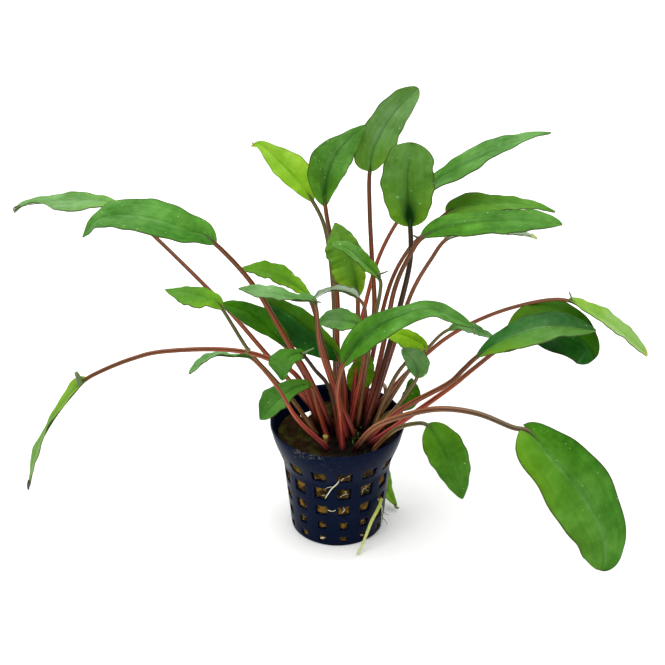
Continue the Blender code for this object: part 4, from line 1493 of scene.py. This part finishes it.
# %% Small roots
# Lines in mm, each with its radius where it starts
WHITE_ROOTS = [
    ([(0.6, -22.6, 35.6), (0, -23.6, 34.8), (-1.4, -22.9, 32.7), (-2.6, -22.3, 30.8),
      (-3.8, -21.9, 28.3), (-5, -21.6, 25.9)], 0.25),
    ([(-1.8, -22.7, 32.4), (-3.4, -22.6, 32.2), (-5, -22.1, 31)], 0.1),
    ([(-4.2, -20, 19.3), (-3, -21.2, 19.4), (-1.8, -21.3, 19.3), (0.6, -20.2, 20)], 0.16),
    ([(15.6, -12.4, 21), (18, -10.8, 15), (18.5, -7.4, 8), (18.2, -8.4, 3)], 0.22),
]
HAIR_RADIUS, HAIR_TIP_RADIUS = 0.13, 0.06
HAIRS = [
    [(10.8, -20, 44), (11, -22.8, 50.2), (11.1, -24.8, 49)],
    [(24, 5, 43), (26.6, 3, 50.2), (28.4, 2, 49.6), (30.4, 1, 50)],
    [(18.6, -6.6, 9), (20, -6, 7), (21.6, -6.4, 6.4)],
    [(18.4, -6.2, 5.2), (20, -5.4, 3), (21, -6, 1)],
]
# Rootlets in the front windows, by how far right and how high they are, in mm
ROOTLETS = [
    ([(1.5, 35.4), (2.1, 37), (4.3, 38.2)], 0.1),
    ([(3.3, 37.7), (4.4, 38.3), (5.1, 39.4)], 0.07),
    ([(1.1, 26.3), (2.4, 27.2), (4.5, 27.4)], 0.1),
    ([(3, 27.4), (3.3, 28.6), (2.7, 29.6)], 0.07),
    ([(9.4, 26.8), (10.4, 28.6), (12.2, 29.2)], 0.1),
    ([(11.2, 29), (11.1, 30), (11.8, 30.6)], 0.07),
    ([(10.9, 28.6), (11.3, 27.2), (12.1, 26.2)], 0.07),
    ([(-6, 26.4), (-4.4, 27), (-3.8, 29.2)], 0.08),
    ([(2.2, 20.6), (2.7, 19.2), (1.8, 17.6)], 0.17),
    ([(-6.4, 3), (-5.3, 3.6), (-4.2, 3.2)], 0.35),
    ([(8.2, 2.8), (9.2, 3.6), (10, 3)], 0.25),
    ([(9, 10.6), (10.2, 11.4), (11.4, 10.8)], 0.1),
]
STUB = [(-4.8, -7, 40), (-4.9, -7, 44), (-4.8, -7.2, 46.8)]


def on_wool(x, height):
    """A place on the wool in one of the pot's front windows, in mm"""
    reach = wool_radius(height * MM)
    turn = math.atan2(-math.sqrt(reach ** 2 - (x * MM) ** 2), x * MM)
    spot = outward(turn) * (wool_radius(height * MM, turn) / MM)
    return (spot.x, spot.y, height)


hair_skin = plain_skin("dead root hair", "#2c2618", 0.7)
stub_skin = root_skin("cut stalk stub", "#4e4420", "#b09c48")
small = [make_root("white_root", line, thick, thick * 0.6, white_skin)
         for line, thick in WHITE_ROOTS]
small += [make_root("rootlet", [on_wool(*spot) for spot in line], thick, thick * 0.5, white_skin)
          for line, thick in ROOTLETS]
small += [make_root("root_hair", line, HAIR_RADIUS, HAIR_TIP_RADIUS, hair_skin)
          for line in HAIRS]
small.append(make_root("stub", STUB, 0.8, 1.1, stub_skin))
print("small roots:", len(small))

# %% [markdown]
# Scraps of leaf lie on the wool, most of them behind the crown on the right, and whitish threads
# of algae have dried on the pot's rim. Both are strands too. Then all that belongs to the plug is
# joined to it, as one piece.

# %% Scraps and dried algae
# How many scraps of leaf and threads of dried algae there are, and how thick each is
SCRAPS, SCRAP_THICKNESS = 46, 0.3 * MM
FLUFF, FLUFF_THICKNESS = 45, 0.045 * MM


def leaf_scraps():
    """Scraps of leaf lying on the wool, most of them behind the crown on the right"""
    draw = random.Random(11)
    scraps = []
    for _ in range(SCRAPS):
        x, y = draw.uniform(4, 20) * MM, draw.uniform(-9, 12) * MM
        if math.hypot(x, y) > 20 * MM:
            x = x / 2
        place = Vector((x, y, wool_height(x, y) + draw.uniform(0.3, 1.4) * MM))
        along = Vector((draw.uniform(-1, 1), draw.uniform(-1, 1), draw.uniform(-0.3, 0.5)))
        scraps.append(strand(draw, place, Vector((0, 0, 1)), along, 0.5, 1.2))
    return scraps


def rim_fluff():
    """Whitish threads of algae dried on the pot's rim, front left"""
    draw = random.Random(5)
    threads = []
    for _ in range(FLUFF):
        angle = math.radians(draw.gauss(240, 7))
        height = POT_HEIGHT - abs(draw.gauss(0, 1.3)) * MM
        out = outward(angle)
        place = out * (pot_radius(height) + 0.1 * MM) + Vector((0, 0, height + 0.1 * MM))
        threads.append(strand(draw, place, out, way_on_wall(draw, out), 0.3, 0.9))
    return threads


scraps = make_fibres("leaf_scraps", leaf_scraps(), SCRAP_THICKNESS)
scraps.data.materials.append(plain_skin("scrap of leaf", "#3f6a1c", 0.6))
fluff = make_fibres("dried_algae", rim_fluff(), FLUFF_THICKNESS)
fluff.data.materials.append(plain_skin("dried algae", "#6c6e5c", 0.8))
wool = join([wool, *small, scraps, fluff])
wool.name = "wool_plug_fibrous"
settle(wool, "mineral_wool", "wool_plug")
